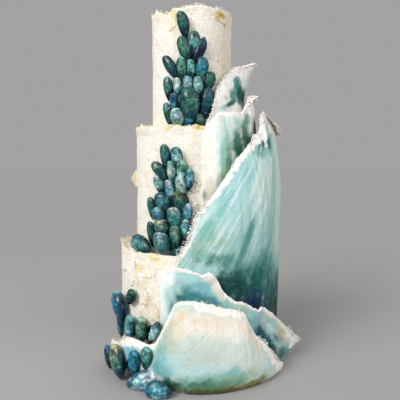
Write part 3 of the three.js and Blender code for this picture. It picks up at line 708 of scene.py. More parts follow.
def track(stations, count):
    """Points evenly along a smooth track through the stations, and how far along it each lies."""
    knots = np.array(stations, float)
    knots = np.vstack([2 * knots[0] - knots[1], knots, 2 * knots[-1] - knots[-2]])
    spans = len(stations) - 1

    def at(u):
        reach = np.clip(u, 0, 1) * spans
        k = np.minimum(reach.astype(int), spans - 1)
        t = (reach - k)[:, None]
        p0, p1, p2, p3 = (knots[k + n] for n in range(4))
        straight = 2 * p1 + (p2 - p0) * t
        curved = (2 * p0 - 5 * p1 + 4 * p2 - p3) * t ** 2
        return 0.5 * (straight + curved + (3 * p1 - p0 - 3 * p2 + p3) * t ** 3)

    fine = np.linspace(0, 1, TRACK_POINTS)
    dense = at(fine)
    steps = np.linalg.norm(np.diff(place(*dense.T), axis=0), axis=1) / MM
    length = np.concatenate([[0], np.cumsum(steps)])
    even = np.linspace(0, length[-1], count + 1)
    return at(np.interp(even, length, fine)), even


# Meshes.
def start():
    """Nothing selected."""
    for thing in list(bpy.context.selected_objects):
        thing.select_set(False)


def newest(name):
    """The object that was just made, with its mesh, under a name of its own."""
    thing = bpy.context.object
    thing.name = name
    thing.data.name = name
    return thing


def mode(kind):
    bpy.ops.object.mode_set(mode=kind)


def sheet(name, columns, rows):
    """A flat grid, and how far across and up it each vertex lies, from 0 to 1."""
    start()
    bpy.ops.mesh.primitive_grid_add(x_subdivisions=columns, y_subdivisions=rows, size=1)
    thing = newest(name)
    flat = coordinates(thing)
    return thing, flat[:, 0] + 0.5, flat[:, 1] + 0.5


def apply_thickness(thing, thickness):
    """Gives a thin sheet of icing its thickness in mm."""
    modifier = thing.modifiers.new("thickness", "SOLIDIFY")
    modifier.thickness = thickness * MM
    modifier.offset = 0
    start()
    thing.select_set(True)
    bpy.context.view_layer.objects.active = thing
    bpy.ops.object.modifier_apply(modifier=modifier.name)


def copy_of(master, name):
    """A copy with its own mesh."""
    thing = master.copy()
    thing.data = master.data.copy()
    thing.name = name
    thing.data.name = name
    bpy.context.collection.objects.link(thing)
    return thing


def coordinates(thing):
    flat = np.empty(len(thing.data.vertices) * 3)
    thing.data.vertices.foreach_get("co", flat)
    return flat.reshape(-1, 3)


def reshape(thing, points):
    thing.data.vertices.foreach_set("co", points.reshape(-1))
    thing.data.update()


def record_values(thing, name, kind, values):
    """Stores one value, vector or colour for each vertex."""
    layer = thing.data.attributes.get(name) or thing.data.attributes.new(name, kind, "POINT")
    field = {"FLOAT": "value", "FLOAT_VECTOR": "vector", "FLOAT_COLOR": "color"}[kind]
    layer.data.foreach_set(field, np.ascontiguousarray(values, np.float32).reshape(-1))


def record_paint(thing, colours, strength=1.0):
    """Stores colours, with how streaked or striped they are as their alpha."""
    alpha = np.broadcast_to(np.asarray(strength, float), colours.shape[:-1])
    record_values(thing, "paint", "FLOAT_COLOR", np.concatenate([colours, alpha[..., None]], -1))


def join(things, name):
    """Joins pieces into the first of them."""
    start()
    for thing in things:
        thing.select_set(True)
    bpy.context.view_layer.objects.active = things[0]
    bpy.ops.object.join()
    return newest(name)


def finish_piece(thing, node, material):
    """Smooths a piece, gives it its material, and lets it ride on the cake and stand for its node."""
    start()
    thing.select_set(True)
    bpy.context.view_layer.objects.active = thing
    bpy.ops.object.shade_smooth()
    thing.data.materials.clear()
    thing.data.materials.append(material)
    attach(thing, BODY)
    if node:
        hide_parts(node)


def close_mesh():
    """In edit mode: merges doubles, fills holes and turns the faces outwards."""
    bpy.ops.mesh.select_all(action="SELECT")
    bpy.ops.mesh.remove_doubles(threshold=WELD)
    bpy.ops.mesh.select_all(action="SELECT")
    bpy.ops.mesh.fill_holes(sides=0)
    bpy.ops.mesh.select_all(action="SELECT")
    bpy.ops.mesh.normals_make_consistent(inside=False)


def dab_paint(colours, dabs, azimuth, height, warp, reach=PAINT_REACH):
    """Lays soft dabs of colour, each an ellipse with an edge that the warp breaks up."""
    for pot, at, up, half_width, half_height, slant, strength in dabs:
        across = (azimuth - at) * reach
        rise = height - up
        lean = math.radians(slant)
        x = across * math.cos(lean) - rise * math.sin(lean)
        y = across * math.sin(lean) + rise * math.cos(lean)
        away = np.hypot(x / half_width, y / half_height) + 0.45 * warp
        share = strength * smooth(1.45, 0.35, away)
        colours = lerp(colours, palette(pot), share[..., None])
    return colours


def paint_plain(thing, colours, border):
    """Paints icing without brush strokes, as if all of it lay this far below a torn border, in metres."""
    count = len(colours)
    record_paint(thing, colours, 0.0)
    record_values(thing, "border", "FLOAT", np.full(count, border))
    record_values(thing, "flow", "FLOAT_VECTOR", np.zeros((count, 3)))


# Shaders.
class Term:
    """A shader value. Sums on it add Math nodes."""

    def __init__(self, mix, socket):
        self.mix = mix
        self.socket = socket

    def math(self, operation, *others):
        return self.mix.node("ShaderNodeMath", {"operation": operation}, [self, *others])

    def __add__(self, other):
        return self.math("ADD", other)

    def __radd__(self, other):
        return self.math("ADD", other)

    def __sub__(self, other):
        return self.math("SUBTRACT", other)

    def __rsub__(self, other):
        return self.mix.node("ShaderNodeMath", {"operation": "SUBTRACT"}, [other, self])

    def __mul__(self, other):
        return self.math("MULTIPLY", other)

    def __abs__(self):
        return self.math("ABSOLUTE")

    def sine(self):
        return self.math("SINE")

    def between(self, low, high):
        """0 at low, 1 at high and smooth in between, either way round."""
        return self.mix.node(
            "ShaderNodeMapRange", {"interpolation_type": "SMOOTHSTEP"},
            {"Value": self, "From Min": low, "From Max": high},
        )


class Mix:
    """A material as it is mixed."""

    def __init__(self, name):
        self.material = bpy.data.materials.new(name)
        self.material.use_nodes = True
        self.tree = self.material.node_tree
        self.shader = self.tree.nodes["Principled BSDF"]

    def node(self, kind, settings=None, values=(), out=0):
        """Adds a node with its settings, then its sockets' values or links, and gives back one output."""
        made = self.tree.nodes.new(kind)
        for key, value in (settings or {}).items():
            setattr(made, key, value)
        pairs = values.items() if isinstance(values, dict) else enumerate(values)
        for key, value in pairs:
            if isinstance(value, Term):
                self.tree.links.new(value.socket, made.inputs[key])
            else:
                made.inputs[key].default_value = value
        return Term(self, made.outputs[out])

    def set(self, **values):
        """Sets or links the shader's own sockets, named with _ for each space."""
        for key, value in values.items():
            socket = self.shader.inputs[key.replace("_", " ")]
            if isinstance(value, Term):
                self.tree.links.new(value.socket, socket)
            else:
                socket.default_value = value

    def place(self):
        return self.node("ShaderNodeTexCoord", out="Object")

    def attribute(self, name, out="Fac"):
        return self.node("ShaderNodeAttribute", {"attribute_name": name}, out=out)

    def stretch(self, vector, scale):
        return self.node("ShaderNodeVectorMath", {"operation": "MULTIPLY"}, [vector, scale])

    def lumps(self, vector, scale, detail=3.0, roughness=0.5):
        """Noise about 0.5 at a scale in lumps a metre."""
        values = {"Vector": vector, "Scale": scale, "Detail": detail, "Roughness": roughness}
        return self.node("ShaderNodeTexNoise", values=values)

    def blend(self, first, second, share):
        """One colour over another by a share from 0 to 1."""
        under, over = (c if isinstance(c, Term) else (*c, 1) for c in (first, second))
        settings = {"data_type": "RGBA", "clamp_factor": True}
        return self.node("ShaderNodeMix", settings, {0: share, 6: under, 7: over}, out=2)

    def coats(self, base, *coats):
        """Coats of colour over a base, each as its colour, its mask and its share."""
        for coat, mask, share in coats:
            base = self.blend(base, coat, mask * share)
        return base

    def tint(self, colour, by):
        """A colour multiplied by another."""
        settings = {"data_type": "RGBA", "blend_type": "MULTIPLY"}
        return self.node("ShaderNodeMix", settings, {0: 1.0, 6: colour, 7: (*by, 1)}, out=2)

    def bump(self, height, strength, distance, normal=None):
        values = {"Height": height, "Strength": strength, "Distance": distance}
        if normal:
            values["Normal"] = normal
        return self.node("ShaderNodeBump", values=values)


def paper_icing():
    """Cream paper icing: mottled, speckled, gilded where torn, with painted shade in its creases."""
    mix = Mix("paper_icing")
    pos = mix.place()
    pots = bpy.context.scene.cake_palette
    mottle = mix.lumps(pos, 60, 5, 0.6)
    fine = mix.lumps(pos, 520, 3, 0.6)
    creases = abs(mix.lumps(pos, 110, 4, 0.6) - 0.5)
    patches = mix.lumps(pos, 24, 2).between(0.48, 0.64)
    specks = mix.lumps(pos, 700, 1, 0.4).between(0.66, 0.74) * patches
    grit = mix.lumps(pos, 900, 2, 0.6).between(0.56, 0.66)
    gilding = mix.attribute("gilding") + (fine - 0.5) * 1.7 + (mottle - 0.5) * 0.7
    leaf = gilding.between(0.55, 0.8)
    base = mix.coats(
        mix.attribute("paint", "Color"),
        (pots.beige[:], mottle.between(0.5, 0.74), 0.45),
        (pots.shell_white[:], (1 - mottle).between(0.5, 0.66), 0.7),
        # Tan along the crease lines, the valleys of the crumple bump, is painted shade in the creases.
        (pots.tan[:], (1 - creases).between(0.96, 1.0), 0.34),
        (pots.speck[:], specks, 0.85),
        (pots.lemon[:], gilding.between(0.15, 0.55), 0.85),
        (pots.gold[:], leaf, 0.85),
        (pots.bark[:], leaf * grit, 0.75),
    )
    crumple = mix.bump(creases + mottle * 0.9, 0.6, 0.0035)
    mix.set(
        Base_Color=base, Roughness=0.75 - leaf * 0.3, Specular_IOR_Level=0.3,
        Normal=mix.bump(fine, 0.4, 0.0007, crumple),
    )
    return mix.material


def painted_icing():
    """Rolled icing airbrushed and brushed along its flow, bare and rough where its border is torn."""
    mix = Mix("painted_icing")
    pos = mix.place()
    pots = bpy.context.scene.cake_palette
    paint = mix.attribute("paint", "Color")
    streaky = mix.attribute("paint", "Alpha")
    flow = mix.attribute("flow", "Vector")
    border = mix.attribute("border")
    broad = mix.lumps(mix.stretch(flow, (150, 10, 1)), 1, 5, 0.65)
    thin = mix.lumps(mix.stretch(flow, (620, 24, 1)), 1, 3, 0.6)
    mottle = mix.lumps(pos, 130, 5, 0.65)
    fine = mix.lumps(pos, 620, 3, 0.6)
    specks = mix.lumps(pos, 430, 2, 0.5).between(0.64, 0.72) * border.between(0.04, 0.006)
    grain = broad + (thin - 0.5) * 0.6
    shaded = mix.tint(paint, (0.40, 0.60, 0.60))
    base = mix.coats(
        paint,
        (pots.snow[:], grain.between(0.5, 0.72) * streaky, 0.5),
        (shaded, (1 - grain).between(0.5, 0.74) * streaky, 0.6),
        (shaded, (mottle - 0.5).between(0.06, 0.24), 0.4),
        (pots.shell_white[:], (0.5 - mottle).between(0.08, 0.24), 0.25),
        (shaded, specks, 0.8),
    )
    bare = (border + (mottle - 0.5) * 0.010 + (fine - 0.5) * 0.005).between(0.0028, -0.0022)
    torn = mix.blend(pots.shell_white[:], pots.peach[:], mottle.between(0.44, 0.64) * 0.8)
    mix.set(
        Base_Color=mix.blend(base, torn, bare), Roughness=0.45 + bare * 0.3, Specular_IOR_Level=0.15,
        Normal=mix.bump(fine * (0.3 + bare), 0.5, 0.001, mix.bump(mottle, 0.3, 0.0014)),
    )
    return mix.material


def mussel_glaze():
    """Glossy glaze over growth lines that ring the umbo."""
    mix = Mix("mussel_glaze")
    pos = mix.place()
    pots = bpy.context.scene.cake_palette
    paint = mix.attribute("paint", "Color")
    striped = mix.attribute("paint", "Alpha")
    growth = mix.attribute("growth")
    mottle = mix.lumps(pos, 170, 5, 0.65)
    blotch = mix.lumps(pos, 75, 3, 0.5)
    fine = mix.lumps(pos, 900, 2, 0.5)
    rings = (growth * 40 + mottle * 6.0).sine()
    hair = (growth * 130 + mottle * 9.0).sine()
    shaded = mix.tint(paint, (0.12, 0.32, 0.40))
    lit = mix.tint(paint, (1.9, 1.5, 1.4))
    patchy = striped * (0.35 + blotch.between(0.42, 0.62) * 0.65)
    base = mix.blend(mix.tint(paint, (0.74, 0.88, 0.94)), pots.teal[:], blotch.between(0.52, 0.7) * 0.4)
    base = mix.blend(base, shaded, rings.between(0.25, 0.95) * (patchy * 0.6 + 0.04))
    base = mix.coats(
        base,
        (lit, (0 - rings).between(0.4, 1.0) * patchy, 0.7),
        (shaded, hair.between(0.2, 1.0), 0.3),
        (shaded, mottle.between(0.46, 0.62), 0.85),
        (lit, (1 - mottle).between(0.51, 0.62), 0.75),
        (pots.ice[:], (1 - mottle).between(0.60, 0.72), 0.35),
    )
    mix.set(
        Base_Color=base, Roughness=0.18 + fine * 0.16, Specular_IOR_Level=0.15,
        Coat_Weight=0.4, Coat_Roughness=0.07,
        Normal=mix.bump(rings * 0.3 + hair * 0.6, 0.25, 0.0003, mix.bump(mottle, 0.3, 0.0008)),
    )
    return mix.material


def floor_finish():
    """Pale matt floor."""
    mix = Mix("pale_floor")
    cloudy = mix.lumps(mix.place(), 2.0, 3)
    mix.set(Base_Color=mix.blend(*FLOOR_TONES, cloudy), Roughness=0.9, Specular_IOR_Level=0.1)
    return mix.material


# Tiers.
def crest_of(name, azimuth):
    """Height of a tier's torn paper rim."""
    tier = TIERS[name]
    radius = tier["radius"]
    (rise,) = stations_at(tier["crest"], azimuth)
    wavy = 0.7 * ragged(np.radians(azimuth) * 2, radius)
    paper = place(azimuth, radius, 0 * azimuth)
    torn = clouds(paper, radius, (0.9, 0.005, 0), (0.7, 0.0018, 0), base=wavy)
    torn = bpy.context.scene.cake_shape.rim_torn / MM * torn
    return tier["ledge"] + np.maximum(rise + torn, RIM_LEAST)


def crumpled(points, radius, depth):
    """How far crumpled paper stands out at points, in mm."""
    broad = cloud(points, 0.034, radius)
    folded = 1 - 2 * np.abs(cloud(points, 0.016, radius + 9))
    small = cloud(points, 0.006, radius + 21)
    return depth * (0.55 * broad + 0.35 * folded ** 3 + 0.2 * small)


def dress_paper(thing, name, azimuth, height, gilding):
    """Paints paper, and gilds it in spots over what it has already, near a tier's side only."""
    radius = TIERS[name]["radius"]
    reach = math.radians(radius)
    points = coordinates(thing)
    warp = clouds(points, 0, (0.7, 0.012, 3), (0.6, 0.004, 5))
    from_axis = np.hypot(points[:, 0], points[:, 1]) / MM
    near_side = smooth(radius - SIDE_FADE[0], radius - SIDE_FADE[1], from_axis)
    under = np.broadcast_to(palette("cream"), points.shape)
    painted = dab_paint(under, PAPER_PAINT[name], azimuth, height, warp, reach)
    record_paint(thing, lerp(under, painted, near_side[:, None]))
    gilding = gilding * (1 + cloud(points, 0.02, 4))
    for tier, at, up, half_width, half_height, strength in GILDING:
        if tier == name:
            away = np.hypot((azimuth - at) * reach / half_width, (height - up) / half_height)
            gilding = np.maximum(gilding, strength * smooth(1.4, 0.2, away + 0.5 * warp))
    record_values(thing, "gilding", "FLOAT", gilding * near_side)


def drawn_drum(name, tier):
    """A plain drum with its side, rim and ledge, drawn in from a cylinder's upper edge."""
    radius, foot, top = tier["radius"], tier["foot"], tier["ledge"] + RIM_NOMINAL
    start()
    bpy.ops.mesh.primitive_cylinder_add(
        vertices=tier["columns"], radius=radius * MM, depth=(top - foot) * MM,
        end_fill_type="NOTHING", location=(0, 0, (foot + top) / 2 * MM),
    )
    thing = newest(f"{name}_body")
    bpy.ops.object.transform_apply(location=True, rotation=False, scale=False)
    points = coordinates(thing)
    mode("EDIT")
    bpy.ops.mesh.select_mode(type="EDGE")
    bpy.ops.mesh.select_all(action="DESELECT")
    mode("OBJECT")
    upright = [abs(points[e.vertices[0], 2] - points[e.vertices[1], 2]) > MM for e in thing.data.edges]
    thing.data.edges.foreach_set("select", upright)
    mode("EDIT")
    bpy.ops.mesh.subdivide(number_cuts=tier["rows"])

    def pull(shrink, rise=0.0):
        """Extrudes the selected loop, towards the axis and upwards."""
        bpy.ops.mesh.extrude_region_move()
        bpy.ops.transform.resize(value=(shrink, shrink, 1), center_override=(0, 0, 0))
        bpy.ops.transform.translate(value=(0, 0, rise * MM))

    def select_loop(height):
        bpy.ops.mesh.select_mode(type="VERT")
        bpy.ops.mesh.select_all(action="DESELECT")
        mode("OBJECT")
        chosen = np.abs(coordinates(thing)[:, 2] - height * MM) < 0.01 * MM
        thing.data.vertices.foreach_set("select", chosen)
        mode("EDIT")

    select_loop(top)
    reach = radius
    for _ in range(RIM_STEPS):
        pull((reach - RIM_THICKNESS / RIM_STEPS) / reach)
        reach -= RIM_THICKNESS / RIM_STEPS
    for _ in range(RIM_STEPS):
        pull(1, -RIM_NOMINAL / RIM_STEPS)
    insets = (2 * RIM_THICKNESS, *LEDGE_INSETS)
    for ring in [radius - inset for inset in insets] + [radius * share for share in LEDGE_SHARES]:
        pull(ring / reach)
        reach = ring
    bpy.ops.mesh.merge(type="CENTER")
    select_loop(foot)
    pull(0.5)
    bpy.ops.mesh.merge(type="CENTER")
    close_mesh()
    mode("OBJECT")
    return thing


def tier_body(name, tier):
    """A drum with its side crumpled, its rim torn and flared, and its ledge dimpled."""
    depth = bpy.context.scene.cake_shape.crumple / MM
    radius, foot, ledge = tier["radius"], tier["foot"], tier["ledge"]
    thing = drawn_drum(name, tier)
    points = coordinates(thing) / MM
    azimuth = azimuth_of(points)
    reach = np.hypot(points[:, 0], points[:, 1])
    height = points[:, 2]
    crest = crest_of(name, azimuth)
    over = np.clip((height - ledge) / RIM_NOMINAL, 0, 1)
    height = np.where(height > ledge, ledge + over * (crest - ledge), height)
    on_side = smooth(radius - 6, radius - 0.5, reach)
    lift = crumpled(place(azimuth, radius, height), radius, depth)
    flare = RIM_FLARE * (1 + 1.6 * cloud(place(azimuth, radius, 0 * azimuth), 0.012, radius + 3))
    near_rim = smooth(12, 0, crest - height)
    above_foot = smooth(0, 6, points[:, 2] - foot)
    reach = reach + on_side * (lift * (0.25 + 0.75 * above_foot) + near_rim * flare)
    dimple = (1 - on_side) * 0.5 * cloud(place(azimuth, reach, height), 0.02, radius + 5)
    height = height + dimple * (points[:, 2] > foot + 1) * (reach > 1)
    reshape(thing, place(azimuth, reach, height))
    dress_paper(thing, name, azimuth, height, 0.3 * smooth(5, 0, crest - height) * on_side)
    return thing


def torn_leaf(tier_name, azimuth, height, width, tall, lift, lean, seed):
    """A torn leaf of paper that lies on a tier and peels off round its edge."""
    radius = TIERS[tier_name]["radius"]
    depth = bpy.context.scene.cake_shape.crumple / MM
    thing, across, up = sheet(f"leaf_{tier_name}_{seed}", *LEAF_CELLS)
    x, y = 2 * across - 1, 2 * up - 1
    away = np.maximum(np.abs(x), np.abs(y))
    turn = np.arctan2(y, x)
    rim = np.stack([np.cos(turn), np.sin(turn), turn * 0], -1)
    ragged_edge = clouds(rim, seed, (0.5, 0.6, 0), (0.3, 0.22, 0), (0.2, 0.09, 0), base=1)
    round_off = away / np.maximum(np.hypot(x, y), 1e-6)
    x, y = (side * lerp(1, round_off, 0.8 * away) * lerp(1, ragged_edge, away) for side in (x, y))
    slope = math.radians(lean)
    across = width / 2 * (x * math.cos(slope) - y * math.sin(slope))
    up = height + tall / 2 * (x * math.sin(slope) + y * math.cos(slope))
    lifted = cloud(rim, 0.5, seed + 3)
    peel = lift * smooth(0.35, 1, away) * (0.45 + 0.9 * lifted)
    turned = azimuth + np.degrees(across / radius)
    under = radius + crumpled(place(turned, radius, up), radius, depth) + 0.3
    reshape(thing, place(turned, under + np.maximum(peel, -0.6 * away), up))
    dress_paper(thing, tier_name, turned, up, 0.35 * smooth(0.7, 1, away) * (lifted > 0.1))
    apply_thickness(thing, LEAF_THICKNESS)
    return thing


def paper_tab():
    """The torn tab that stands off the middle tier's left side."""
    tab = PAPER_TAB
    thing, out, up = sheet("paper_tab", *TAB_CELLS)
    half = smooth(1.05, 0.25, out) * 0.5 + 0.08
    ragged_edge = 1 + 0.25 * cloud(on_plane(out * 3, up * 6), 1, 5)
    height = lerp(tab["low"], tab["high"], 0.52 + (up - 0.5) * 2 * half * ragged_edge)
    uneven = 1 + 0.08 * cloud(on_plane(up * 5, up), 1, 2)
    reach = lerp(tab["inner"], tab["outer"], out * uneven)
    turn = tab["azimuth"] + 3.0 * out ** 2 + 1.2 * cloud(on_plane(out * 2, up * 2), 1, 9)
    reshape(thing, place(turn, reach, height))
    dress_paper(thing, "tier_middle", turn, height, 0.2 + 0.1 * out)
    apply_thickness(thing, tab["thickness"] / 2)
    return thing


def ribbon(name, root, tall, lean, curl, ruffle, torn_away, seed):
    """A thin torn ribbon that rises from a line of points, leans and curls outwards, and has holes."""
    columns = len(root) - 1
    thing, across, up = sheet(name, columns, RIBBON_ROWS)
    i = np.rint(across * columns).astype(int)
    base = root[i]
    frayed = clouds(base, seed, (0.5, 0.006, 0), (0.45, 0.0022, 2), base=1)
    reach = tall[i] * np.maximum(frayed, 0.1) * up
    angle = np.radians(lean + curl * up * 0.5)
    outward = base * np.array([1, 1, 0])
    outward /= np.linalg.norm(outward, axis=1)[:, None]
    sideways = np.stack([-outward[:, 1], outward[:, 0], 0 * up], -1)
    shaken = np.stack([base[:, 0] + 0.002 * up, base[:, 1], base[:, 2] + 0.004 * up], -1)
    sway = ruffle * up * MM
    stands_out = reach * np.sin(angle) * MM + sway * 1.3 * cloud(shaken, 0.006, seed + 4)
    points = base + (reach * np.cos(angle) * MM)[:, None] * np.array([0, 0, 1])
    points = points + stands_out[:, None] * outward
    points = points + (sway * cloud(shaken, 0.005, seed + 6))[:, None] * sideways
    reshape(thing, points)
    centres = np.array([p.center[:] for p in thing.data.polygons])
    height = np.array([up[p.vertices[0]] for p in thing.data.polygons])
    holes = cloud(centres, 0.0028, seed + 8) > 0.75 - 1.1 * torn_away - 0.35 * height
    mode("EDIT")
    bpy.ops.mesh.select_mode(type="FACE")
    mode("OBJECT")
    thing.data.polygons.foreach_set("select", holes & (height > 0.15))
    mode("EDIT")
    bpy.ops.mesh.delete(type="FACE")
    mode("OBJECT")
    return thing


def fringe(name):
    """The frayed fringe of paper fibres on a tier's rim."""
    tall, lean, curl, ruffle = FRINGE[name]
    azimuth = np.linspace(-180, 180, 3 * TIERS[name]["columns"] + 1)
    crest = crest_of(name, azimuth)
    root = place(azimuth, TIERS[name]["radius"] - FRINGE_INSET + 0 * azimuth, crest - FRINGE_ROOT)
    height = tall * (1 + 0.6 * cloud(root, 0.02, 6))
    thing = ribbon(f"fringe_{name}", root, height, lean, curl, ruffle, FRINGE_TORN, FRINGE_SEED)
    points = coordinates(thing) / MM
    dress_paper(thing, name, azimuth_of(points), points[:, 2], np.full(len(points), 0.22))
    apply_thickness(thing, FRINGE_THICKNESS)
    return thing


# Waves.
def wave_frill(number, name, edge, azimuth, frill):
    """A frill of torn icing that curls off part of a wave's edge."""
    low, high, tall, lean, curl, ruffle, torn_away, root_pot, tip_pot = frill
    reach = np.flatnonzero((azimuth >= low) & (azimuth <= high))
    spots = np.linspace(reach[0], reach[-1], 2 * len(reach))
    root = np.stack([np.interp(spots, np.arange(len(edge)), edge[:, k]) for k in range(3)], -1)
    root[:, 2] -= FRILL_ROOT * MM
    taper = np.sin(np.linspace(0, np.pi, len(root))) ** 0.5
    seed = FRILL_SEED + number
    thing = ribbon(f"frill_{name}_{number}", root, tall * taper, lean, curl, ruffle, torn_away, seed)
    points = coordinates(thing)
    away = np.min(np.linalg.norm(points[:, None] - root[None, ::4], axis=2), axis=1) / (tall * MM)
    tone = 0.25 * cloud(points, 0.005, number) + smooth(0, 0.9, away)
    colours = lerp(palette(root_pot), palette(tip_pot), np.clip(tone, 0, 1)[:, None])
    paint_plain(thing, colours, FRILL_BORDER * MM)
    apply_thickness(thing, FRILL_THICKNESS)
    return thing


def flow_of(kind, at):
    """Where a brush stroke's grain lies: across it and along it, in metres."""
    across, height = at["azimuth"] * PAINT_REACH, at["height"]
    if kind[0] == "fan":
        x, y = across - kind[1] * PAINT_REACH, kind[2] - height
        return np.arctan2(x, y) * FAN_REACH, np.hypot(x, y) * MM
    if kind[0] == "lip":
        return at["from_edge"] * MM, at["along"] * MM
    slope = math.radians(kind[1])
    return (
        (across * math.cos(slope) + height * math.sin(slope)) * MM,
        (height * math.cos(slope) - across * math.sin(slope)) * MM,
    )


def torn_track(wall, seed):
    """A wall's torn edge, column by column: how far along, azimuth, radius, height and how level it is."""
    edge, along = track(wall["edge"], wall["columns"])
    azimuth, radius, height = edge.T
    run = np.gradient(azimuth) * np.radians(1) * radius
    level = np.clip(np.abs(run) / np.maximum(np.gradient(along), 1e-6), 0.4, 1)
    rim = np.stack([along, 0 * along, 0 * along], -1)
    fade = smooth(0, END_FADE, along) * smooth(0, END_FADE, along[-1] - along)
    torn = bpy.context.scene.cake_shape.edge_torn / MM * fade
    height = height + torn * clouds(rim, seed, (0.55, 17, 0), (0.45, 5.5, 4), (0.35, 2.0, 8))
    radius = radius + torn * clouds(rim, seed, (0.7, 14, 2), (0.3, 4, 6))
    return along, azimuth, radius, height, level


def wall_profile(wall, columns, back_reach):
    """Rows up the face, over the lip and down the back: share of the height, and of the thickness."""
    whole = np.ones(columns)
    up = np.linspace(0, 1, wall["rows"] + 1)
    rows = [(v * whole, 0.0) for v in 1 - (1 - up) ** ROW_CROWDING]
    rows += [(whole, k / LIP_ROWS) for k in range(1, LIP_ROWS)]
    steps = wall["inner_rows"]
    rows += [(1 - back_reach * (k / steps) ** 1.2, 1.0) for k in range(steps + 1)]
    rows += [(0 * whole, 1.0), (0 * whole, 0.0)]
    return np.stack([v for v, _ in rows]), np.stack([share * whole for _, share in rows])


def paint_wall(wall, seed, points, at):
    """A wall's colours, how streaked they are, how far below the bare border, and the flow of the brush."""
    through = at["through"]
    across_flow, along_flow = flow_of(wall["flow"], at)
    grain = on_plane(across_flow * 70, along_flow * 7)
    streaks = cloud(grain, 1, seed) + 0.7 * cloud(grain * 3.1, 1, seed + 1)
    warp = clouds(points, seed, (0.6, 0.014, 23), (0.5, 0.005, 25)) + wall["streaks"] * 1.3 * streaks
    faces = []
    for pot, dabs in ((wall["under"], wall["paint"]), (wall["inner"], wall["inside"])):
        under = np.broadcast_to(palette(pot), points.shape)
        faces.append(dab_paint(under, dabs, at["azimuth"], at["height"], warp))
    behind = through > 0.9
    colours = np.where(behind[..., None], faces[1], faces[0])
    brushed = wall["streaks"] * (0.12 + 0.88 * smooth(0.05, 0.38, colours.mean(-1)))
    past_lip = -1 + 3 * (at["from_edge"] > 3)
    bare = np.where(through > 0.1, past_lip, at["from_edge"] - at["border"])
    return colours, np.where(behind, 0.2, brushed), bare * MM, on_plane(across_flow, along_flow)


def wave_wall(name, wall, seed):
    """A closed wall: up its face, over its torn lip and down its back."""
    columns = wall["columns"]
    along, azimuth, edge_radius, edge_height, level = torn_track(wall, seed)
    foot_radius, foot_height, bulge = stations_at(wall["foot"], azimuth)
    tall = edge_height - foot_height
    lip = np.minimum(wall["lip"], tall * 0.6)
    backed = lip + np.minimum(BACKED_RAMP, tall * 0.2)
    v, through = wall_profile(wall, columns + 1, np.minimum(backed / tall * 1.05, 1))

    swell = bulge * np.sin(np.pi * v ** wall["bulge_power"])
    face_radius = lerp(foot_radius, edge_radius, v ** wall["flare"]) + swell
    height = lerp(foot_height, edge_height, v)
    from_edge = (1 - v) * tall * level
    backing = smooth(lip, backed, (1 - v) * tall)
    grid_azimuth = np.broadcast_to(azimuth, v.shape)
    points = place(grid_azimuth, face_radius, height)
    folds = bpy.context.scene.cake_shape.folds / MM * cloud(points, (0.045, 0.045, 0.12), seed)
    ripple = clouds(points, seed, (0.35, 0.008, 5), (0.12, 0.003, 7))
    (border,) = stations_at(wall["border"], azimuth)
    border = border * clouds(points, seed, (0.45, 0.016, 11), (0.25, 0.005, 13), base=1)
    stripped = smooth(border + 1.5, border - 1.5, from_edge)
    free = smooth(0, 25, (1 - v) * tall) * smooth(0, 10, v * tall)
    crumb = 0.5 * cloud(points, 0.0032, seed + 15) * stripped
    outside = face_radius + folds * free + ripple - 0.25 * stripped + crumb
    thick = wall["thickness"] * (0.85 + 0.25 * cloud(points, 0.02, seed + 17))
    inside = lerp(face_radius - thick, wall["core"], backing) + ripple * (1 - backing)
    over = np.sin(np.pi * through) * (v > 0.999)
    height = height + over * (0.9 + 1.1 * cloud(points, 0.0028, seed + 19))
    points = place(grid_azimuth, lerp(outside, inside, through), height)
    points[-1] = points[0]

    last_row = len(v) - 1
    thing, right, up = sheet(name, columns, last_row)
    cells = (np.rint(up * last_row).astype(int), np.rint(right * columns).astype(int))
    reshape(thing, points[cells])
    at = {
        "azimuth": grid_azimuth, "along": np.broadcast_to(along, v.shape), "height": height,
        "from_edge": from_edge, "through": through, "border": border,
    }
    colours, brushed, bare, flow = paint_wall(wall, seed, points, at)
    record_paint(thing, colours[cells], brushed[cells])
    record_values(thing, "border", "FLOAT", bare[cells])
    record_values(thing, "flow", "FLOAT_VECTOR", flow[cells])
    mode("EDIT")
    close_mesh()
    mode("OBJECT")
    return thing, points[wall["rows"] + LIP_ROWS // 2], azimuth


def crumbs_on(name, edge, azimuth, low, high, count, size, spread, seed):
    """Torn crumbs along part of an edge: one small curled chip, copied, turned and squashed at random."""
    draw = random.Random(seed)
    start()
    bpy.ops.mesh.primitive_ico_sphere_add(subdivisions=1, radius=0.5)
    master = newest(f"crumb_{name}_{seed}")
    base = coordinates(master)
    reach = np.flatnonzero((azimuth >= low) & (azimuth <= high))
    chips = [master] + [copy_of(master, master.name) for _ in range(count - 1)]
    for chip in chips:
        scale = size * MM * draw.uniform(0.35, 1.0)
        squash = np.float32([draw.uniform(0.8, 1.4), draw.uniform(0.15, 0.4), draw.uniform(0.5, 1.2)])
        spun = Matrix.Rotation(draw.uniform(0, math.tau), 3, "Z")
        turn = spun @ Matrix.Rotation(draw.uniform(-1.2, 1.2), 3, "X")
        lumps = 1 + 0.55 * cloud(base, 0.35, draw.uniform(0, 50))
        bent = base * squash * lumps[:, None]
        bent[:, 1] += 0.5 * bent[:, 0] ** 2
        spot = edge[draw.choice(reach)]
        drift = [draw.gauss(mean, spread / part) for mean, part in ((0, 3), (0, 3), (-0.15 * spread, 2.4))]
        reshape(chip, bent @ np.array(turn).T * scale + spot + np.array(drift) * MM)
    thing = join(chips, master.name)
    tone = 0.5 + 0.5 * cloud(coordinates(thing), 0.004, seed)
    paint_plain(thing, lerp(palette("shell_white"), palette("beige"), (0.6 * tone)[:, None]), -MM)
    return thing


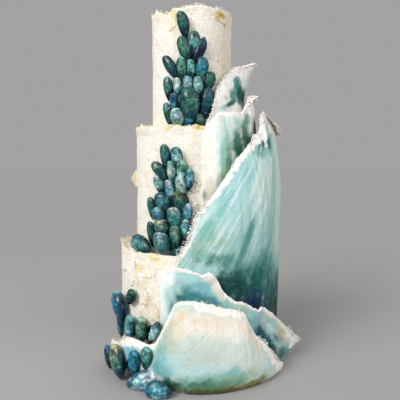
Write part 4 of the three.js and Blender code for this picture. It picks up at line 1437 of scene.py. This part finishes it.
# Mussels.
def mussel_master():
    """A mussel of length and width 1 that stands on its umbo, drawn in from a sphere."""
    start()
    bpy.ops.mesh.primitive_uv_sphere_add(segments=SHELL_SEGMENTS, ring_count=SHELL_RINGS, radius=0.5)
    thing = newest("mussel_master")
    points = coordinates(thing)
    along = np.clip(points[:, 2] + 0.5, 0, 1)
    drawn_in = along ** UMBO_POWER
    girth = np.maximum(4 * drawn_in * (1 - drawn_in), 0) ** ARCH_POWER
    turn = np.arctan2(points[:, 1], points[:, 0])
    keel = 1 - 0.16 * (1 - np.abs(np.cos(turn))) * np.abs(np.sin(2 * turn))
    seam = 1 - 0.03 * np.exp(-((np.sin(turn) / 0.07) ** 2)) * np.sin(np.pi * along)
    x = 0.5 * girth * np.cos(turn) * seam
    y = 0.5 * girth * np.sin(turn) * SHELL_DEPTH * keel
    reshape(thing, np.stack([x, y, along - 0.5], -1))
    return thing


def mussel(master, name, length, width, matrix, colours, stripes, seed):
    """One mussel: sized, ridged, painted and put in place."""
    width, length = width * SNUG[0], length * SNUG[1]
    thing = copy_of(master, name)
    points = coordinates(thing)
    across, along = points[:, 0], points[:, 2] + 0.5
    draw = random.Random(seed)
    reach = np.maximum(along, 0.05)
    growth = (RING_FLATNESS * across ** 2 + along ** 2) / reach + 0.03 * cloud(points, 0.3, seed)
    rimward = (across ** 2 + along ** 2) / reach
    beat = growth * draw.uniform(*RIDGE_BEAT) + draw.uniform(0, RIDGE_START)
    ridges = bpy.context.scene.cake_shape.ridges
    ridge = (0.5 + 0.5 * np.sin(beat)) ** 2 * ridges * smooth(0.1, 0.4, along)
    ridge += clouds(points, seed, (0.03, 0.4, 3), (0.008, 0.12, 5))
    outwards = points * np.array([1, 1, 0.25])
    outwards /= np.maximum(np.linalg.norm(outwards, axis=1), 1e-6)[:, None]
    points = points + outwards * ridge[:, None]
    sized = points * np.array([width, width, length])
    sized[:, 0] += HOOK * width * np.sin(np.pi * np.clip(along, 0, 1))
    turned = np.array(matrix)
    reshape(thing, (sized @ turned[:3, :3].T + turned[:3, 3]) * MM)
    tone = mussel_tones(points, along, across, rimward, colours, seed)
    record_paint(thing, tone, stripes)
    record_values(thing, "growth", "FLOAT", growth)
    return thing


def mussel_tones(points, along, across, rimward, colours, seed):
    """Foot, belly and head colours that run into each other, and darker down both sides, partly from the
    dark paint on a mussel's edges and partly as painted contact shade.
    """
    head, belly, foot = (palette(pot) for pot in colours)
    blot = clouds(points, seed, (0.24, 0.33, 7), (0.1, 0.12, 9))
    share = along + blot - 0.25 * np.abs(across)
    tone = lerp(foot, belly, smooth(0.14, 0.46, share)[:, None])
    tone = lerp(tone, head, smooth(0.5, 0.84, share)[:, None])
    # Darker down the sides: partly the dark paint on the edges, partly painted contact shade.
    side = smooth(0.62, 0.98, rimward + 0.8 * blot) * smooth(1.0, 0.8, along) * 0.85
    return lerp(tone, foot * 0.45, side[:, None])


def shell_matrix(azimuth, radius, height, facing, lean, tilt):
    """Turned to face an azimuth, leaning sideways and tipping its broad head outwards."""
    turn = math.radians(azimuth)
    spot = Matrix.Translation((radius * math.sin(turn), -radius * math.cos(turn), height))
    facing_turn = Matrix.Rotation(math.radians(facing), 4, "Z")
    leaning = Matrix.Rotation(math.radians(lean), 4, "Y")
    tipping = Matrix.Rotation(math.radians(tilt), 4, "X")
    return spot @ facing_turn @ leaning @ tipping


def standing(entry, wall, tilt, sink=0.0):
    """Size and place of a mussel that stands against a wall."""
    azimuth, height, length, width, lean = entry[:5]
    lift = width * SHELL_DEPTH / 2 + TILT_LIFT * length * math.sin(math.radians(tilt)) - sink
    return length, width, shell_matrix(azimuth, wall + STAND_OFF + lift, height, azimuth, lean, tilt)


def clustered():
    """Every mussel of the clusters: its node, and the size, place, colours and stripes of each half."""
    for cluster, group in CLUSTERS.items():
        for k, entry in enumerate(group["mussels"], 1):
            node = f"{cluster}_{k:02d}"
            halves = [entry] + ([MATES[node]] if node in MATES else [])
            yield node, [(*standing(h, group["wall"], group["tilt"]), h[5:8], h[8]) for h in halves]


def lying():
    """The mussels that lie flat, in the same form."""
    for node, entry in LYING.items():
        azimuth, radius, height, length, width, lean, facing = entry[:7]
        matrix = shell_matrix(azimuth, radius, height, facing, lean, 0)
        yield node, [(length, width, matrix, entry[7:10], entry[10])]


def shade_mussels(cluster):
    """Ink-dark mussel shapes behind a cluster, painted shade in the gaps, in the form of halves."""
    wall = CLUSTERS[cluster]["wall"]
    for entry in SHADE_MUSSELS[cluster]:
        yield (*standing(entry, wall, SHADE_MUSSELS_TILT, SHADE_MUSSELS_SINK), ("ink", "ink", "ink"), 0)


# Operators.
class CAKE_OT_tiers(bpy.types.Operator):
    """Builds the three tiers with their torn paper rims and leaves"""

    bl_idname = "cake.tiers"
    bl_label = "Tiers"

    def execute(self, context):
        icing = paper_icing()
        for name, tier in TIERS.items():
            parts = [tier_body(name, tier), fringe(name)]
            for seed, leaf in enumerate(PAPER_LEAVES):
                if leaf[0] == name:
                    parts.append(torn_leaf(*leaf, seed))
            if name == "tier_middle":
                parts.append(paper_tab())
            finish_piece(join(parts, f"paper_{name}"), name, icing)
        return {"FINISHED"}


class CAKE_OT_waves(bpy.types.Operator):
    """Builds the four torn, painted waves of rolled icing"""

    bl_idname = "cake.waves"
    bl_label = "Waves"

    def execute(self, context):
        icing = painted_icing()
        for number, (name, walls) in enumerate(WAVES.items()):
            parts, edges = [], []
            for k, wall in enumerate(walls):
                wall_seed = WAVE_SEED * number + WALL_SEED * k
                thing, edge, azimuth = wave_wall(f"{name}_wall_{k}", wall, wall_seed)
                parts.append(thing)
                edges.append((edge, azimuth))
            for seed, (wave, wall, *crumbs) in enumerate(CRUMBS):
                if wave == name:
                    parts.append(crumbs_on(name, *edges[wall], *crumbs, seed))
            for seed, (wave, wall, *frill) in enumerate(FRILLS):
                if wave == name:
                    parts.append(wave_frill(seed, name, *edges[wall], frill))
            finish_piece(join(parts, f"icing_{name}"), name, icing)
        return {"FINISHED"}


class CAKE_OT_mussels(bpy.types.Operator):
    """Builds every sugar mussel from one master, and ink-dark ones as painted shade in the gaps"""

    bl_idname = "cake.mussels"
    bl_label = "Mussels"

    def execute(self, context):
        glaze = mussel_glaze()
        master = mussel_master()
        seed = 0

        def modelled(halves, name):
            """One piece from its halves, each with the next seed."""
            nonlocal seed
            parts = []
            for half in halves:
                seed += 1
                parts.append(mussel(master, f"half_{seed}", *half, seed))
            return join(parts, name)

        for node, halves in (*clustered(), *lying()):
            finish_piece(modelled(halves, node.replace("shell", "mussel")), node, glaze)
        # Ink-dark mussel shapes as painted shade in the gaps of each cluster.
        for cluster in SHADE_MUSSELS:
            finish_piece(modelled(shade_mussels(cluster), f"tucked_{cluster}"), None, glaze)
        bpy.data.objects.remove(master)
        return {"FINISHED"}


class CAKE_OT_stage(bpy.types.Operator):
    """Sets the floor, the soft lights and the camera"""

    bl_idname = "cake.stage"
    bl_label = "Stage"

    def execute(self, context):
        scene = context.scene
        start()
        bpy.ops.mesh.primitive_plane_add(size=FLOOR_SIZE, location=(0, 0, 0))
        floor = newest("floor")
        floor.data.materials.append(floor_finish())
        world = bpy.data.worlds.new("soft_room")
        world.use_nodes = True
        background = world.node_tree.nodes["Background"]
        background.inputs["Color"].default_value = ROOM_COLOUR
        background.inputs["Strength"].default_value = ROOM_STRENGTH
        scene.world = world
        for name, turn, rise, spread, strength in SUNS:
            bpy.ops.object.light_add(type="SUN", location=(0, 0, 2))
            lamp = newest(name)
            lamp.data.angle = math.radians(spread)
            lamp.data.energy = strength
            lamp.rotation_euler = (math.radians(90 - rise), 0, math.radians(turn))
        bpy.ops.object.light_add(type="AREA", location=SHINE_PLACE)
        lamp = newest("shine")
        lamp.data.size = SHINE_SIZE
        lamp.data.energy = SHINE_POWER
        aim = Vector(SHINE_TARGET) - Vector(SHINE_PLACE)
        lamp.rotation_euler = aim.to_track_quat("-Z", "Y").to_euler()
        bpy.ops.object.camera_add(location=CAMERA_PLACE, rotation=(math.radians(90 - CAMERA_DOWN), 0, 0))
        camera = newest("camera")
        camera.data.lens = CAMERA_LENS
        camera.data.sensor_width = SENSOR_WIDTH
        camera.data.clip_start = CLIP_START
        scene.camera = camera
        scene.view_settings.view_transform = "Standard"
        return {"FINISHED"}


class CAKE_PT_panel(bpy.types.Panel):
    """Lists the cake's steps, shapes and colours"""

    bl_label = "Tiered cake"
    bl_idname = "CAKE_PT_panel"
    bl_space_type = "VIEW_3D"
    bl_region_type = "UI"
    bl_category = "Cake"

    def draw(self, context):
        for step in STEPS:
            self.layout.operator(step.bl_idname)
        for group in (context.scene.cake_shape, context.scene.cake_palette):
            box = self.layout.box()
            for key in type(group).__annotations__:
                box.prop(group, key)


STEPS = (CAKE_OT_stage, CAKE_OT_tiers, CAKE_OT_waves, CAKE_OT_mussels)
CLASSES = (CakePalette, CakeShape, *STEPS, CAKE_PT_panel)


def register():
    for cls in CLASSES:
        bpy.utils.register_class(cls)
    bpy.types.Scene.cake_palette = PointerProperty(type=CakePalette)
    bpy.types.Scene.cake_shape = PointerProperty(type=CakeShape)


def unregister():
    del bpy.types.Scene.cake_shape
    del bpy.types.Scene.cake_palette
    for cls in reversed(CLASSES):
        bpy.utils.unregister_class(cls)


def main():
    """Builds the scene."""
    register()
    bpy.ops.cake.stage()
    bpy.ops.cake.tiers()
    bpy.ops.cake.waves()
    bpy.ops.cake.mussels()


if __name__ == "__main__":
    main()
